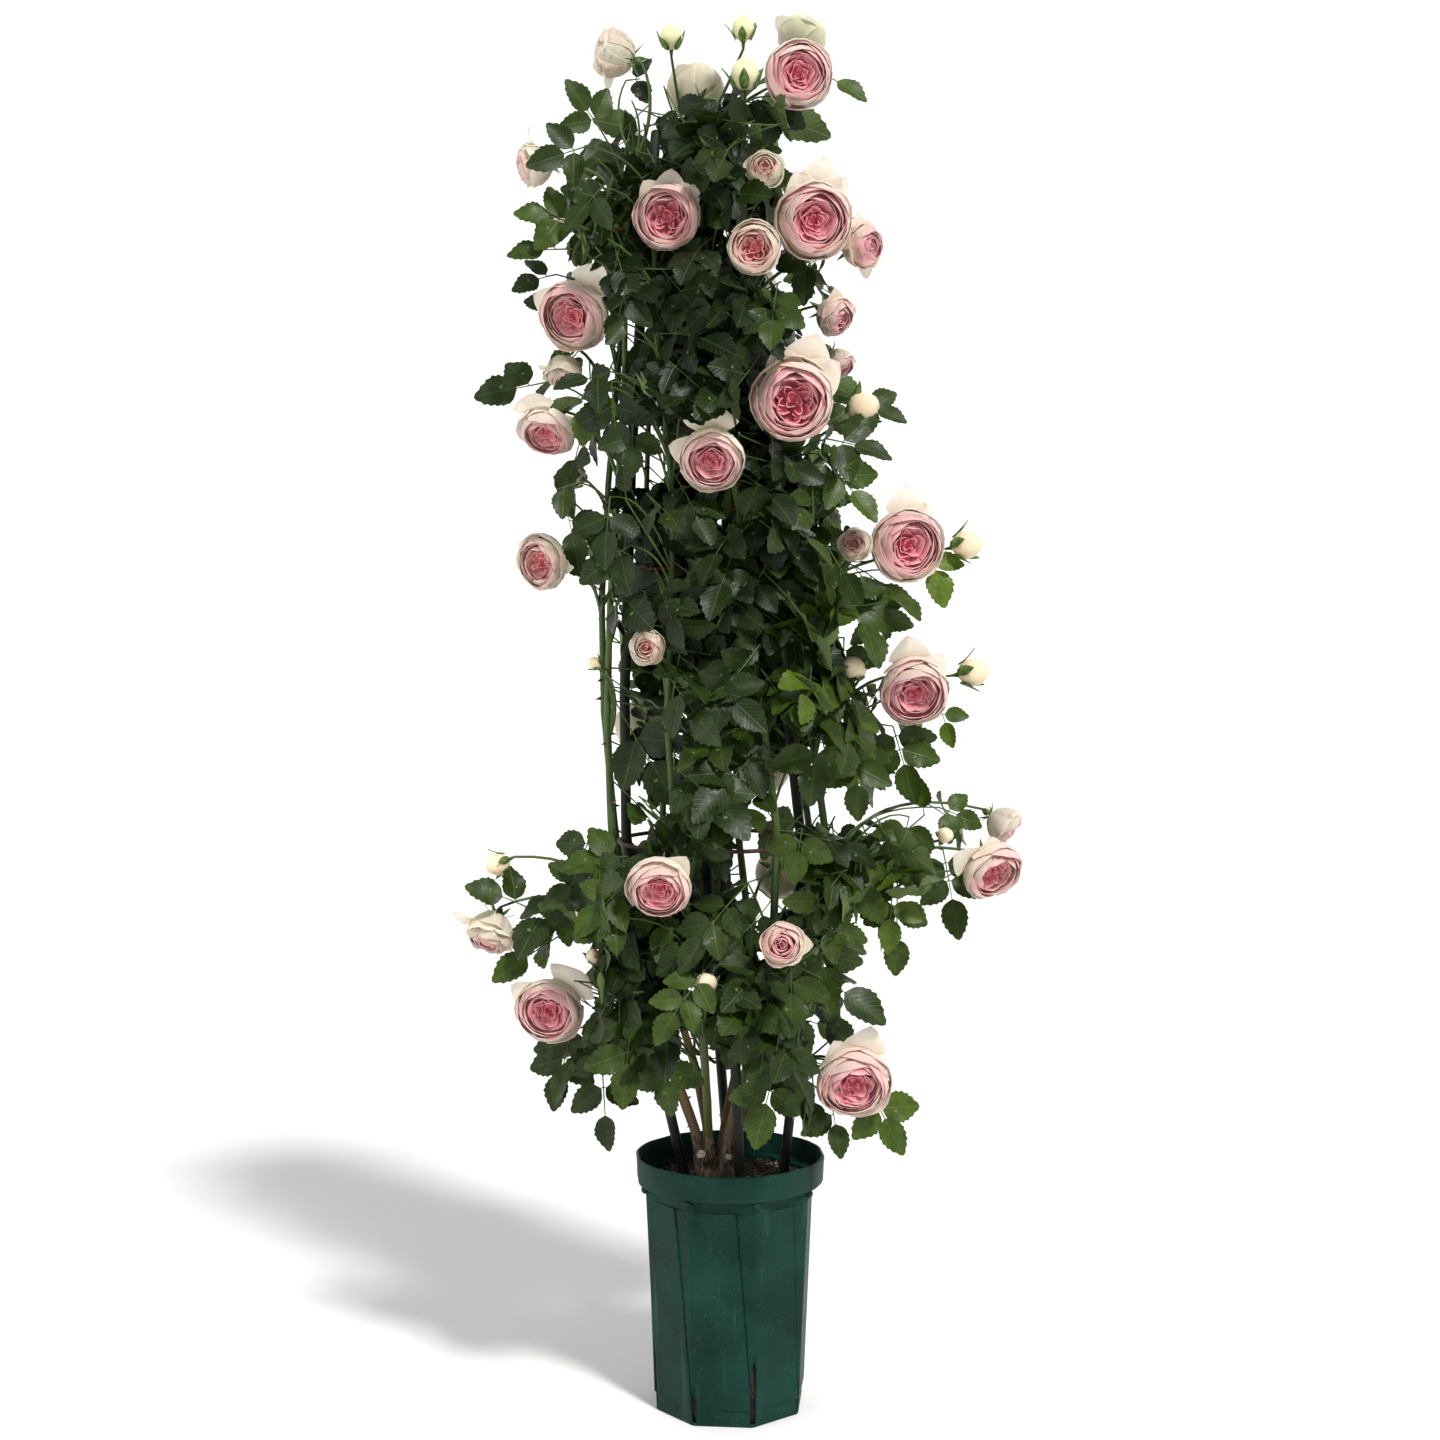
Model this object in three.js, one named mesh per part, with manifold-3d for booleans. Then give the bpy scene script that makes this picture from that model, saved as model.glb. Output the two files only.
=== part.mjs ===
// A climbing rose in its pot, trained round a slim obelisk trellis.
// Millimetres, +Z up. The origin is on the floor under the middle of the pot, and the front faces -Y.
// Angles round the plant are degrees from the front, turning towards +X.
import * as THREE from 'three'
import { mergeVertices } from 'three/addons/utils/BufferGeometryUtils.js'
import Module from 'manifold-3d'

const wasm = await Module()
wasm.setup()

// ---- Driving dimensions -------------------------------------------------------------------------

const gap = 0.35 // between pieces that touch

const pot = {
  height: 322,
  collarHeight: 33,
  rimRadius: 120,
  collarWall: 3.5,
  bodyTopRadius: 111, // to the corners of the octagon
  bodyBottomRadius: 97,
  wall: 3.5,
  floor: 4,
  firstCorner: 17,
  sides: 8,
  panelStep: 1.6,
  panelTop: 272,
  panelBottom: 22,
  knobRadius: 5,
  slitWidth: 7,
  longSlit: 80,
  shortSlit: 39,
  roundSides: 28,
}

const soil = { top: 288, mound: 5 }

const trellis = {
  turn: 6.5, // the first post stands this far from the front
  posts: 4,
  radius: 6.5,
  sides: 6,
  // height of each bend of a post and its distance from the middle of the trellis
  heights: [60, 288, 500, 730, 905, 1200, 1450, 1600],
  spread: [48, 62, 98, 110, 101, 74, 42, 18],
  middle: 6, // the middle of the trellis at the soil, towards +X
  lean: -0.06, // sideways lean for each millimetre above the soil
  rings: [720, 1060, 1400],
  ringWire: 2.6,
}

const crown = { x: -18, y: 0, radius: 27, top: 312, root: 245 }

const caneStandoff = 24 // from the posts' centres to the canes' centres
const canes = [
  { name: 'cane_front_right', angle: 30, top: 1560 },
  { name: 'cane_right', angle: 72, top: 1500 },
  { name: 'cane_back_right', angle: 118, top: 1400 },
  { name: 'cane_back', angle: 163, top: 1590 },
  { name: 'cane_back_left', angle: 210, top: 1450 },
  { name: 'cane_left', angle: 253, top: 1580 },
  { name: 'cane_front_left', angle: 298, top: 1520 },
  { name: 'cane_front', angle: 343, top: 1500 },
]
const cane = { base: 5.6, tip: 3, sides: 5, wobble: 5, bow: 7 }

// Blooms: centre, diameter, the way the face looks (turned from the front, raised from level),
// and how far it has opened. The guard petals are the outermost ones that have bent back,
// each given by its place round the bloom, in degrees from the top.
const blooms = [
  { at: [-146, 0, 1693], size: 70, turn: -110, rise: 20, open: 0.6, guards: [] },
  { at: [-43, 40, 1655], size: 76, turn: -165, rise: 35, open: 0.8, guards: [] },
  { at: [89, 60, 1725], size: 66, turn: 160, rise: 45, open: 0.8, guards: [] },
  { at: [83, -45, 1658], size: 88, turn: 10, rise: -5, open: 1, guards: [] },
  { at: [-247, 0, 1557], size: 62, turn: -80, rise: -10, open: 0.6, guards: [0] },
  { at: [-75, -105, 1478], size: 84, turn: -10, rise: -10, open: 1, guards: [] },
  { at: [41, -90, 1536], size: 52, turn: 0, rise: 15, open: 0.5, guards: [] },
  { at: [100, -75, 1478], size: 100, turn: 14, rise: -10, open: 1, guards: [10] },
  { at: [28, -140, 1436], size: 70, turn: -8, rise: -5, open: 0.8, guards: [] },
  { at: [165, -30, 1454], size: 64, turn: 45, rise: 0, open: 0.7, guards: [] },
  { at: [-192, -45, 1369], size: 94, turn: -20, rise: -20, open: 1, guards: [35] },
  { at: [-205, -15, 1300], size: 54, turn: -15, rise: -75, open: 0.6, guards: [] },
  { at: [128, -55, 1366], size: 58, turn: 45, rise: -25, open: 0.6, guards: [] },
  { at: [135, -10, 1312], size: 48, turn: 50, rise: -50, open: 0.5, guards: [] },
  { at: [74, -140, 1259], size: 106, turn: 5, rise: -10, open: 1, guards: [20] },
  { at: [-224, -45, 1227], size: 76, turn: -15, rise: -45, open: 0.9, guards: [-15] },
  { at: [-22, -165, 1188], size: 86, turn: -5, rise: -25, open: 1, guards: [0] },
  { at: [-231, -40, 1068], size: 76, turn: -35, rise: -10, open: 0.9, guards: [] },
  { at: [216, -65, 1089], size: 96, turn: 15, rise: -5, open: 1, guards: [0] },
  { at: [150, -105, 1089], size: 46, turn: -20, rise: 10, open: 0.5, guards: [] },
  { at: [-98, -165, 969], size: 48, turn: -10, rise: -10, open: 0.5, guards: [] },
  { at: [226, -55, 910], size: 94, turn: 5, rise: -25, open: 1, guards: [-10] },
  { at: [350, 25, 735], size: 58, turn: 75, rise: -35, open: 0.6, guards: [] },
  { at: [324, -50, 687], size: 84, turn: 30, rise: -30, open: 1, guards: [-70] },
  { at: [-84, -185, 685], size: 84, turn: -5, rise: -25, open: 1, guards: [] },
  { at: [-299, -30, 604], size: 70, turn: -30, rise: -55, open: 0.7, guards: [-40] },
  { at: [61, -185, 620], size: 60, turn: 0, rise: 0, open: 0.6, guards: [] },
  { at: [-223, -75, 519], size: 90, turn: -10, rise: -15, open: 1, guards: [40] },
  { at: [149, -120, 438], size: 98, turn: 5, rise: -20, open: 1, guards: [15] },
  { at: [45, 190, 800], size: 82, turn: 172, rise: -10, open: 1, guards: [] },
  { at: [70, 215, 650], size: 76, turn: 160, rise: -20, open: 0.9, guards: [] },
  { at: [-120, 175, 850], size: 76, turn: -155, rise: -10, open: 1, guards: [] },
  { at: [-60, 190, 1090], size: 88, turn: -172, rise: -15, open: 1, guards: [20] },
  { at: [60, 175, 1180], size: 62, turn: 165, rise: 0, open: 0.6, guards: [] },
  { at: [-90, 150, 1330], size: 84, turn: -160, rise: -10, open: 1, guards: [] },
  { at: [20, 140, 1420], size: 92, turn: 172, rise: -15, open: 1, guards: [] },
  { at: [-170, 190, 600], size: 86, turn: -140, rise: -25, open: 1, guards: [] },
  { at: [85, 190, 490], size: 84, turn: 150, rise: -20, open: 1, guards: [] },
]

// Buds: centre, diameter, the way the tip looks.
const buds = [
  { at: [-72, -25, 1705], size: 28, turn: 0, rise: 60 },
  { at: [16, -20, 1716], size: 28, turn: 0, rise: 70 },
  { at: [18, -45, 1655], size: 36, turn: 0, rise: 80 },
  { at: [-199, -40, 1495], size: 34, turn: -20, rise: 30 },
  { at: [160, -70, 1253], size: 40, turn: 30, rise: 20 },
  { at: [290, -30, 1090], size: 36, turn: 60, rise: 10 },
  { at: [150, -95, 940], size: 32, turn: -30, rise: 20 },
  { at: [301, -10, 932], size: 36, turn: 70, rise: 10 },
  { at: [263, -75, 735], size: 20, turn: 0, rise: 20 },
  { at: [-288, -20, 693], size: 28, turn: -60, rise: -20 },
  { at: [-29, -175, 570], size: 26, turn: 0, rise: 40 },
  { at: [-167, -100, 590], size: 18, turn: 0, rise: 50 },
  { at: [-163, -90, 946], size: 16, turn: -60, rise: 30 },
  { at: [190, 120, 1010], size: 30, turn: 110, rise: 20 },
  { at: [-200, 110, 1180], size: 30, turn: -120, rise: 20 },
]

// Compound leaves. Places along the stalk and sizes of the leaflets are by leaf length.
const leaf = {
  length: 136,
  lengthSpread: 28,
  rachis: 2.6, // thickness at the ribs, which thins towards the edges
  fold: 0.05, // how far the edges of a leaflet stand above its midrib, by leaf length
  caneStep: 245, // distance between the leaves of a cane
  shootStep: 150, // and of a side shoot
  lowest: 560, // no leaves on the canes below this
  five: { roots: [0.33, 0.55], sizes: [0.3, 0.36], leans: [62, 52], end: 0.68 },
  three: { roots: [0.42], sizes: [0.36], leans: [52], end: 0.62 },
  tip: 0.42,
  halfWidth: 0.35, // of a leaflet, by its own length
  petiole: 0.07, // from the first leaflets back to the bare stalk
  stalk: 0.011,
}

// The leaves keep within this outline, as it shows to a viewer in front of the plant.
const viewer = { distance: 2810, height: 1053 }
const outline = {
  heights: [
    330, 406, 456, 519, 581, 656, 744, 781, 856, 931, 1019, 1081, 1156, 1219, 1256, 1294, 1381, 1469,
    1544, 1594, 1662, 1700, 1770,
  ],
  left: [
    -190, -240, -245, -270, -290, -300, -250, -110, -130, -165, -170, -240, -252, -250, -290, -300, -245,
    -258, -292, -240, -170, -110, -60,
  ],
  right: [
    210, 220, 180, 125, 160, 295, 340, 250, 250, 250, 262, 262, 195, 180, 200, 170, 150, 185, 150, 130,
    130, 110, 60,
  ],
  // places where one sees through the foliage: middle across and up, half width and half height
  gaps: [
    [-135, 1192, 56, 42], [-118, 1612, 34, 24], [-132, 1345, 24, 36], [-150, 780, 80, 34],
    [128, 768, 52, 22], [166, 548, 44, 34], [-70, 408, 40, 34], [8, 416, 22, 30], [-190, 1000, 34, 60],
    [36, 700, 30, 34],
  ],
  places: [-60, 8, 95], // the lower edge steps here, from left to right
  lowest: [352, 455, 400, 345],
  front: -225,
  back: 262,
}

const hipRadius = 5
const hipLength = 10

// The room inside the two lower rings, where more canes can be led up: low and high corners.
const ringRooms = [
  [[-95, -75, 705], [55, 75, 735]],
  [[-100, -60, 1045], [20, 60, 1075]],
]
const roomMargin = [10, 10, 20]

// ---- Small helpers ------------------------------------------------------------------------------

const { PI, sin, cos, floor, min, max, round } = Math
const rad = (degrees) => (degrees * PI) / 180
const v3 = (x, y, z) => new THREE.Vector3(x, y, z)
const up = v3(0, 0, 1)
const mix = (a, b, t) => a + (b - a) * t
const smooth = (t) => t * t * (3 - 2 * t)
const clamp = (t, low, high) => min(max(t, low), high)

// Repeatable draws between 0 and 1.
function draws(seed) {
  let state = seed
  return () => {
    state = (state * 1664525 + 1013904223) % 4294967296
    return state / 4294967296
  }
}

// The way that something faces, from its turn round the plant and its rise above level.
function facing(turn, rise) {
  const level = cos(rad(rise))
  return v3(sin(rad(turn)) * level, -cos(rad(turn)) * level, sin(rad(rise)))
}

function surface(points, triangles) {
  const geometry = new THREE.BufferGeometry()
  const values = points.flatMap((p) => [p.x, p.y, p.z])
  geometry.setAttribute('position', new THREE.Float32BufferAttribute(values, 3))
  geometry.setIndex(triangles.flat())
  return geometry
}

function toSolid(geometry) {
  const bare = geometry.clone()
  bare.deleteAttribute('normal')
  bare.deleteAttribute('uv')
  const merged = mergeVertices(bare, 1e-4)
  const vertProperties = new Float32Array(merged.attributes.position.array)
  const triVerts = new Uint32Array(merged.index.array)
  return new wasm.Manifold(new wasm.Mesh({ numProp: 3, vertProperties, triVerts }))
}

function toGeometry(solid) {
  const mesh = solid.getMesh()
  const geometry = new THREE.BufferGeometry()
  const positions = new THREE.Float32BufferAttribute(mesh.vertProperties, 3)
  geometry.setAttribute('position', positions)
  geometry.setIndex(new THREE.Uint32BufferAttribute(mesh.triVerts, 1))
  geometry.computeVertexNormals()
  return geometry
}

// The largest body of a solid: any crumb that a cut leaves is dropped.
function largest(solid) {
  const bodies = solid.decompose().sort((a, b) => b.volume() - a.volume())
  return bodies[0]
}

// A closed tube along straight steps from point to point, with a radius at each point.
function tube(points, radii, sides) {
  const ring = []
  const triangles = []
  let side = null
  points.forEach((point, i) => {
    const ahead = points[min(i + 1, points.length - 1)].clone()
    const along = ahead.sub(points[max(i - 1, 0)]).normalize()
    const reference = side ?? (Math.abs(along.z) < 0.9 ? up : v3(0, 1, 0))
    side = reference.clone().addScaledVector(along, -reference.dot(along)).normalize()
    const across = along.clone().cross(side)
    for (let k = 0; k < sides; k++) {
      const a = (2 * PI * k) / sides
      const spoke = side.clone().multiplyScalar(cos(a)).addScaledVector(across, sin(a))
      ring.push(point.clone().addScaledVector(spoke, radii[i]))
    }
  })
  for (let i = 0; i < points.length - 1; i++) {
    for (let k = 0; k < sides; k++) {
      const a = i * sides + k
      const b = i * sides + ((k + 1) % sides)
      triangles.push([a, b, b + sides], [a, b + sides, a + sides])
    }
  }
  const last = (points.length - 1) * sides
  for (let k = 1; k < sides - 1; k++) {
    triangles.push([0, k + 1, k], [last, last + k, last + k + 1])
  }
  return surface(ring, triangles)
}

// A closed surface through rings of points, each ring one point or equal in number to the rest.
function loft(rings) {
  const points = rings.flat()
  const triangles = []
  let start = 0
  for (let i = 0; i < rings.length - 1; i++) {
    const low = rings[i].length
    const high = rings[i + 1].length
    const next = start + low
    const count = max(low, high)
    for (let k = 0; k < count; k++) {
      const n = (k + 1) % count
      if (low > 1) triangles.push([start + k, start + n, high > 1 ? next + n : next])
      if (high > 1) triangles.push([low > 1 ? start + k : start, next + n, next + k])
    }
    start = next
  }
  return surface(points, triangles)
}

// ---- Pot and soil -------------------------------------------------------------------------------

const cornerAngle = (k) => rad(pot.firstCorner - 90 + (360 * k) / pot.sides)

function octagon(radius, z) {
  return Array.from({ length: pot.sides }, (_, k) => {
    return v3(radius * cos(cornerAngle(k)), radius * sin(cornerAngle(k)), z)
  })
}

// The outer corner radius of the pot's body at a height.
const bodyRadius = (z) => mix(pot.bodyBottomRadius, pot.bodyTopRadius, z / bodyTop)
const bodyTop = pot.height - pot.collarHeight
const cornerWall = pot.wall / cos(PI / pot.sides)

const frustum = (low, high, zLow, zHigh) =>
  toSolid(loft([[v3(0, 0, zLow)], octagon(low, zLow), octagon(high, zHigh), [v3(0, 0, zHigh)]]))

function disc(radius, zLow, zHigh) {
  const geometry = new THREE.CylinderGeometry(radius, radius, zHigh - zLow, pot.roundSides)
  return toSolid(geometry.rotateX(PI / 2).translate(0, 0, (zLow + zHigh) / 2))
}

// One stepped panel: flush with the facet at its left and standing proud at its slanting right edge.
function potPanel(k) {
  const [first, second, between] = [cornerAngle(k), cornerAngle(k + 1), cornerAngle(k + 0.5)]
  const along = (t, z, out) => {
    const r = bodyRadius(z)
    const x = r * mix(cos(first), cos(second), t) + out * cos(between)
    const y = r * mix(sin(first), sin(second), t) + out * sin(between)
    return v3(x, y, z)
  }
  const left = 0.08
  const flush = 0.02
  const sunk = -2
  const ring = (z, right) => [
    along(left, z, flush),
    along(right, z, pot.panelStep),
    along(right, z, sunk),
    along(left, z, sunk),
  ]
  const top = ring(pot.panelTop, 0.7)
  const bottom = ring(pot.panelBottom, 0.96)
  const middle = (corners) => [corners[0].clone().lerp(corners[2], 0.5)]
  return toSolid(loft([middle(bottom), bottom, top, middle(top)]))
}

function potSlit(k) {
  const tall = k % 2 === 0 ? pot.longSlit : pot.shortSlit
  const deep = 60
  const box = new THREE.BoxGeometry(deep, pot.slitWidth, tall)
  const placed = box.translate(pot.bodyBottomRadius, 0, pot.floor + tall / 2)
  return toSolid(placed.rotateZ(cornerAngle(k)))
}

function potKnob(k) {
  const long = 8
  const knob = new THREE.CylinderGeometry(pot.knobRadius, pot.knobRadius, long, 5)
  const z = bodyTop - 0.8 * pot.knobRadius
  const placed = knob.rotateZ(PI / 2).translate(bodyRadius(z) - 1, 0, z)
  return toSolid(placed.rotateZ(cornerAngle(k)))
}

function buildPot() {
  let body = frustum(pot.bodyBottomRadius, pot.bodyTopRadius, 0, bodyTop)
  for (let k = 0; k < pot.sides; k++) {
    body = body.add(potPanel(k)).add(potKnob(k))
  }
  body = body.add(disc(pot.rimRadius, bodyTop, pot.height))
  const low = bodyRadius(pot.floor) - cornerWall
  const ledge = bodyTop + pot.floor
  const beyond = 1
  body = body.subtract(frustum(low, pot.bodyTopRadius - cornerWall, pot.floor, ledge + beyond))
  body = body.subtract(disc(pot.rimRadius - pot.collarWall, ledge, pot.height + beyond))
  for (let k = 0; k < pot.sides; k++) {
    body = body.subtract(potSlit(k))
  }
  return body
}

function buildSoil(holes) {
  const low = bodyRadius(pot.floor) - cornerWall - gap
  const high = bodyRadius(soil.top) - cornerWall - gap
  const rings = [
    [v3(0, 0, pot.floor + gap)],
    octagon(low, pot.floor + gap),
    octagon(high, soil.top),
    octagon(high * 0.6, soil.top + soil.mound),
    [v3(0, 0, soil.top + soil.mound)],
  ]
  return holes.reduce((body, hole) => body.subtract(hole), toSolid(loft(rings)))
}

// ---- Trellis ------------------------------------------------------------------------------------

const middleX = (z) => trellis.middle + trellis.lean * max(z - soil.top, 0)

function spreadAt(z) {
  const { heights, spread } = trellis
  const i = clamp(heights.findIndex((h) => h > z) - 1, 0, heights.length - 2)
  const step = z >= heights[heights.length - 1] ? heights.length - 2 : i
  return mix(spread[step], spread[step + 1], (z - heights[step]) / (heights[step + 1] - heights[step]))
}

function aroundTrellis(angle, reach, z) {
  return v3(middleX(z) + reach * sin(rad(angle)), -reach * cos(rad(angle)), z)
}

function postTube(k, extra) {
  const angle = trellis.turn + (360 * k) / trellis.posts
  const points = trellis.heights.map((z) => aroundTrellis(angle, spreadAt(z), z))
  if (extra > 0) points[0].z -= extra
  return tube(points, points.map(() => trellis.radius + extra), trellis.sides)
}

function ringGeometry(z) {
  const slope = 0.2 // the posts lean a little, so they reach a little further at the ring's height
  const reach = spreadAt(z) + trellis.radius + trellis.ringWire + gap + slope
  const ring = new THREE.TorusGeometry(reach, trellis.ringWire, 4, 20)
  return ring.rotateZ(rad(trellis.turn)).translate(middleX(z), 0, z)
}

// ---- Crown and canes ----------------------------------------------------------------------------

// The knobbly crown: swollen where the canes leave it, drawn in to a root end that goes into the soil.
function crownSolid(extra) {
  const sides = 9
  const levels = [
    [crown.root - extra, 0.45],
    [crown.root + 30, 0.62],
    [crown.top - 26, 0.92],
    [crown.top - 8, 1],
    [crown.top + 4 + extra, 0.62],
  ]
  const ring = ([z, scale], level) =>
    Array.from({ length: sides }, (_, k) => {
      const a = (2 * PI * k) / sides
      const lump = 1 + 0.12 * sin(3 * a + level * 1.7)
      const r = crown.radius * scale * lump + extra
      return v3(crown.x + r * cos(a), crown.y + r * sin(a), z)
    })
  const rings = levels.map(ring)
  const first = [v3(crown.x, crown.y, crown.root - extra)]
  const last = [v3(crown.x, crown.y, crown.top + 4 + extra)]
  let body = toSolid(loft([first, ...rings, last]))
  const stubs = [
    { from: v3(-22, -8, 300), to: v3(-36, -40, 331), radius: 6.5 },
    { from: v3(-12, -8, 300), to: v3(-2, -38, 327), radius: 5 },
  ]
  for (const stub of stubs) {
    body = body.add(toSolid(tube([stub.from, stub.to], [stub.radius + extra, stub.radius + extra], 7)))
  }
  return body
}

// The line of a cane: up and out from the crown, then up outside the posts and rings.
function canePoints(index) {
  const { angle, top } = canes[index]
  const steps = [304, 350, 420, 500, 600, 740, 880, 1020, 1160, 1300, 1420, 1520]
  const heights = [...steps.filter((z) => z < top - 30), top]
  const clear = 600
  return heights.map((z) => {
    const phase = z / 95 + index * 2.1
    const turn = angle + cane.wobble * sin(phase)
    const outside = spreadAt(z) + caneStandoff + cane.bow * (1 + sin(phase * 0.7 + index))
    const t = smooth(clamp((z - 300) / (clear - 300), 0, 1))
    const reach = mix(18, outside, t ** 0.8)
    const point = aroundTrellis(turn, reach, z)
    point.x += (crown.x - middleX(z)) * (1 - t)
    return point
  })
}

function pointAtHeight(points, z) {
  const i = clamp(points.findIndex((p) => p.z > z) - 1, 0, points.length - 2)
  const step = z >= points[points.length - 1].z ? points.length - 2 : i
  const t = clamp((z - points[step].z) / (points[step + 1].z - points[step].z), 0, 1)
  return points[step].clone().lerp(points[step + 1], t)
}

// A side shoot: from the cane that passes nearest, out and up, and over to what it carries.
function shootPoints(lines, end, away) {
  let best = null
  lines.forEach((line, index) => {
    const start = clamp(end.z - 85, 400, canes[index].top - 20)
    const from = pointAtHeight(line, start)
    const far = from.distanceTo(end)
    if (best === null || far < best.far) best = { far, from, index }
  })
  const { from, index, far } = best
  const bend = from.clone().lerp(end, 0.45)
  bend.z += 0.22 * far
  bend.addScaledVector(away, 0.28 * far)
  const curve = new THREE.QuadraticBezierCurve3(from, bend, end)
  const steps = clamp(round(far / 50), 3, 6)
  return { index, points: curve.getPoints(steps) }
}

// ---- Leaves -------------------------------------------------------------------------------------

// One compound leaf with its leaflets cut to the rib, in a single arched blade.
// u runs along the leaf and v across it, both by leaf length.
function leafGeometry(place, grow = 0) {
  const { root, along, normal, length, plan, droop } = place
  const across = normal.clone().cross(along).normalize()
  const points = []
  const triangles = []
  const add = (u, v, lift) => {
    const height = length * (-droop * u * u - 0.25 * droop * Math.abs(v)) + lift
    const point = root.clone().addScaledVector(along, u * length)
    point.addScaledVector(across, v * length).addScaledVector(normal, height)
    points.push(point)
    return points.length - 1
  }
  // a point of the edge is shared by both faces, a point of a rib has one on each face
  const edge = (u, v, lift = 0) => {
    const i = add(u, v, lift)
    return [i, i]
  }
  const half = leaf.rachis / 2 + grow
  const rib = (u) => [add(u, 0, half), add(u, 0, -half)]
  const face = (a, b, c, flip) => {
    const [p, q] = flip ? [c, b] : [b, c]
    triangles.push([a[0], p[0], q[0]], [a[1], q[1], p[1]])
  }
  const wider = grow / length
  const stalk = leaf.stalk + wider
  const lift = leaf.fold * length * 0.5
  const { roots, sizes, leans, end } = plan
  const ribStart = rib(0)
  const ribRoots = roots.map(rib)
  const ribEnd = rib(end)
  const tip = edge(end + leaf.tip + wider, 0)
  const ends = []
  for (const side of [1, -1]) {
    const flip = side > 0
    const start = edge(0, side * stalk)
    ends.push(start)
    let before = edge(roots[0] - leaf.petiole, side * stalk)
    face(ribStart, start, before, flip)
    face(ribStart, before, ribRoots[0], flip)
    roots.forEach((u, i) => {
      const size = sizes[i]
      const broad = size * leaf.halfWidth + wider
      const lean = rad(leans[i])
      const out = (a, b, raised) => {
        const du = a * cos(lean) - b * sin(lean)
        const dv = a * sin(lean) + b * cos(lean)
        return edge(u + du, side * dv, raised)
      }
      const low = out(size * 0.34, -broad, lift)
      const high = out(size * 0.78, -broad * 0.74, lift)
      const point = out(size * 1.12 + wider, 0, 0)
      const farHigh = out(size * 0.78, broad * 0.74, lift)
      const farLow = out(size * 0.34, broad, lift)
      const nextU = i === roots.length - 1 ? end - 0.015 : (u + roots[i + 1]) / 2
      const after = edge(nextU, side * stalk)
      const here = ribRoots[i]
      const next = i === roots.length - 1 ? ribEnd : ribRoots[i + 1]
      const rim = [before, farLow, farHigh, point, high, low, after, next]
      for (let k = 0; k < rim.length - 1; k++) {
        face(here, rim[k], rim[k + 1], flip)
      }
      before = after
    })
    const broad = edge(end + leaf.tip * 0.34, side * (leaf.tip * leaf.halfWidth + wider), lift)
    const narrow = edge(end + leaf.tip * 0.76, side * (leaf.tip * 0.25 + wider), lift)
    face(ribEnd, before, broad, flip)
    face(ribEnd, broad, narrow, flip)
    face(ribEnd, narrow, tip, flip)
  }
  // the cut end of the stalk
  triangles.push([ribStart[0], ends[0][0], ends[1][0]], [ribStart[1], ends[1][0], ends[0][0]])
  return surface(points, triangles)
}

// ---- Blooms and buds ----------------------------------------------------------------------------

// Axes for something that looks along `front`: its own up and its own right.
function frameOf(front) {
  const top = up.clone().addScaledVector(front, -up.dot(front))
  if (top.length() < 0.2) top.set(0, 1, 0).addScaledVector(front, -front.y)
  top.normalize()
  const right = front.clone().cross(top)
  return (a, radius, forward) => {
    const out = top.clone().multiplyScalar(cos(a) * radius).addScaledVector(right, sin(a) * radius)
    return out.addScaledVector(front, forward)
  }
}

// How far behind the centre of a bloom or bud its flat base lies.
const baseDepth = ({ size, open }) => size * (open === undefined ? 0.42 : mix(0.62, 0.36, open))

// A bloom: a cup of broad outer petals round two more layers and the rolled heart.
function bloomSolid(bloom) {
  const front = facing(bloom.turn, bloom.rise)
  const local = frameOf(front)
  const center = v3(...bloom.at)
  const radius = bloom.size / 2
  const { open } = bloom
  const back = -baseDepth(bloom)
  const ring = (count, reach, forward, lobe, shift) =>
    Array.from({ length: count }, (_, k) => {
      const a = (2 * PI * (k + shift)) / count
      const swell = 1 + lobe * (k % 2 === 0 ? 1 : -1)
      const bend = lobe === 0 ? 0 : (k % 2 === 0 ? -0.05 : 0.05) * radius
      return center.clone().add(local(a, radius * reach * swell, forward * radius + bend))
    })
  const five = (reach, forward, shift) =>
    Array.from({ length: 10 }, (_, k) => {
      const a = (2 * PI * (floor(k / 2) + shift)) / 5
      return center.clone().add(local(a, radius * reach, forward))
    })
  const base = center.clone().add(local(0, 0, back))
  const rings = [
    [base],
    five(0.2, back, 0.25),
    ring(10, mix(0.78, 0.7, open), mix(-0.55, -0.34, open), 0.03, 0.5),
    ring(10, mix(0.72, 0.95, open), mix(0.45, 0.12, open), 0.07, 0),
    ring(10, mix(0.5, 0.7, open), mix(0.3, 0.02, open), 0, 0),
    ring(10, mix(0.42, 0.6, open), mix(0.68, 0.3, open), 0.06, 1),
    five(0.34, radius * mix(0.5, 0.14, open), 0.25),
    [center.clone().add(local(0, 0, radius * mix(0.75, 0.34, open)))],
  ]
  let body = toSolid(loft(rings))
  for (const place of bloom.guards) {
    body = body.add(toSolid(petalGeometry(bloom, place)))
  }
  return body.simplify(0.2)
}

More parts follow.
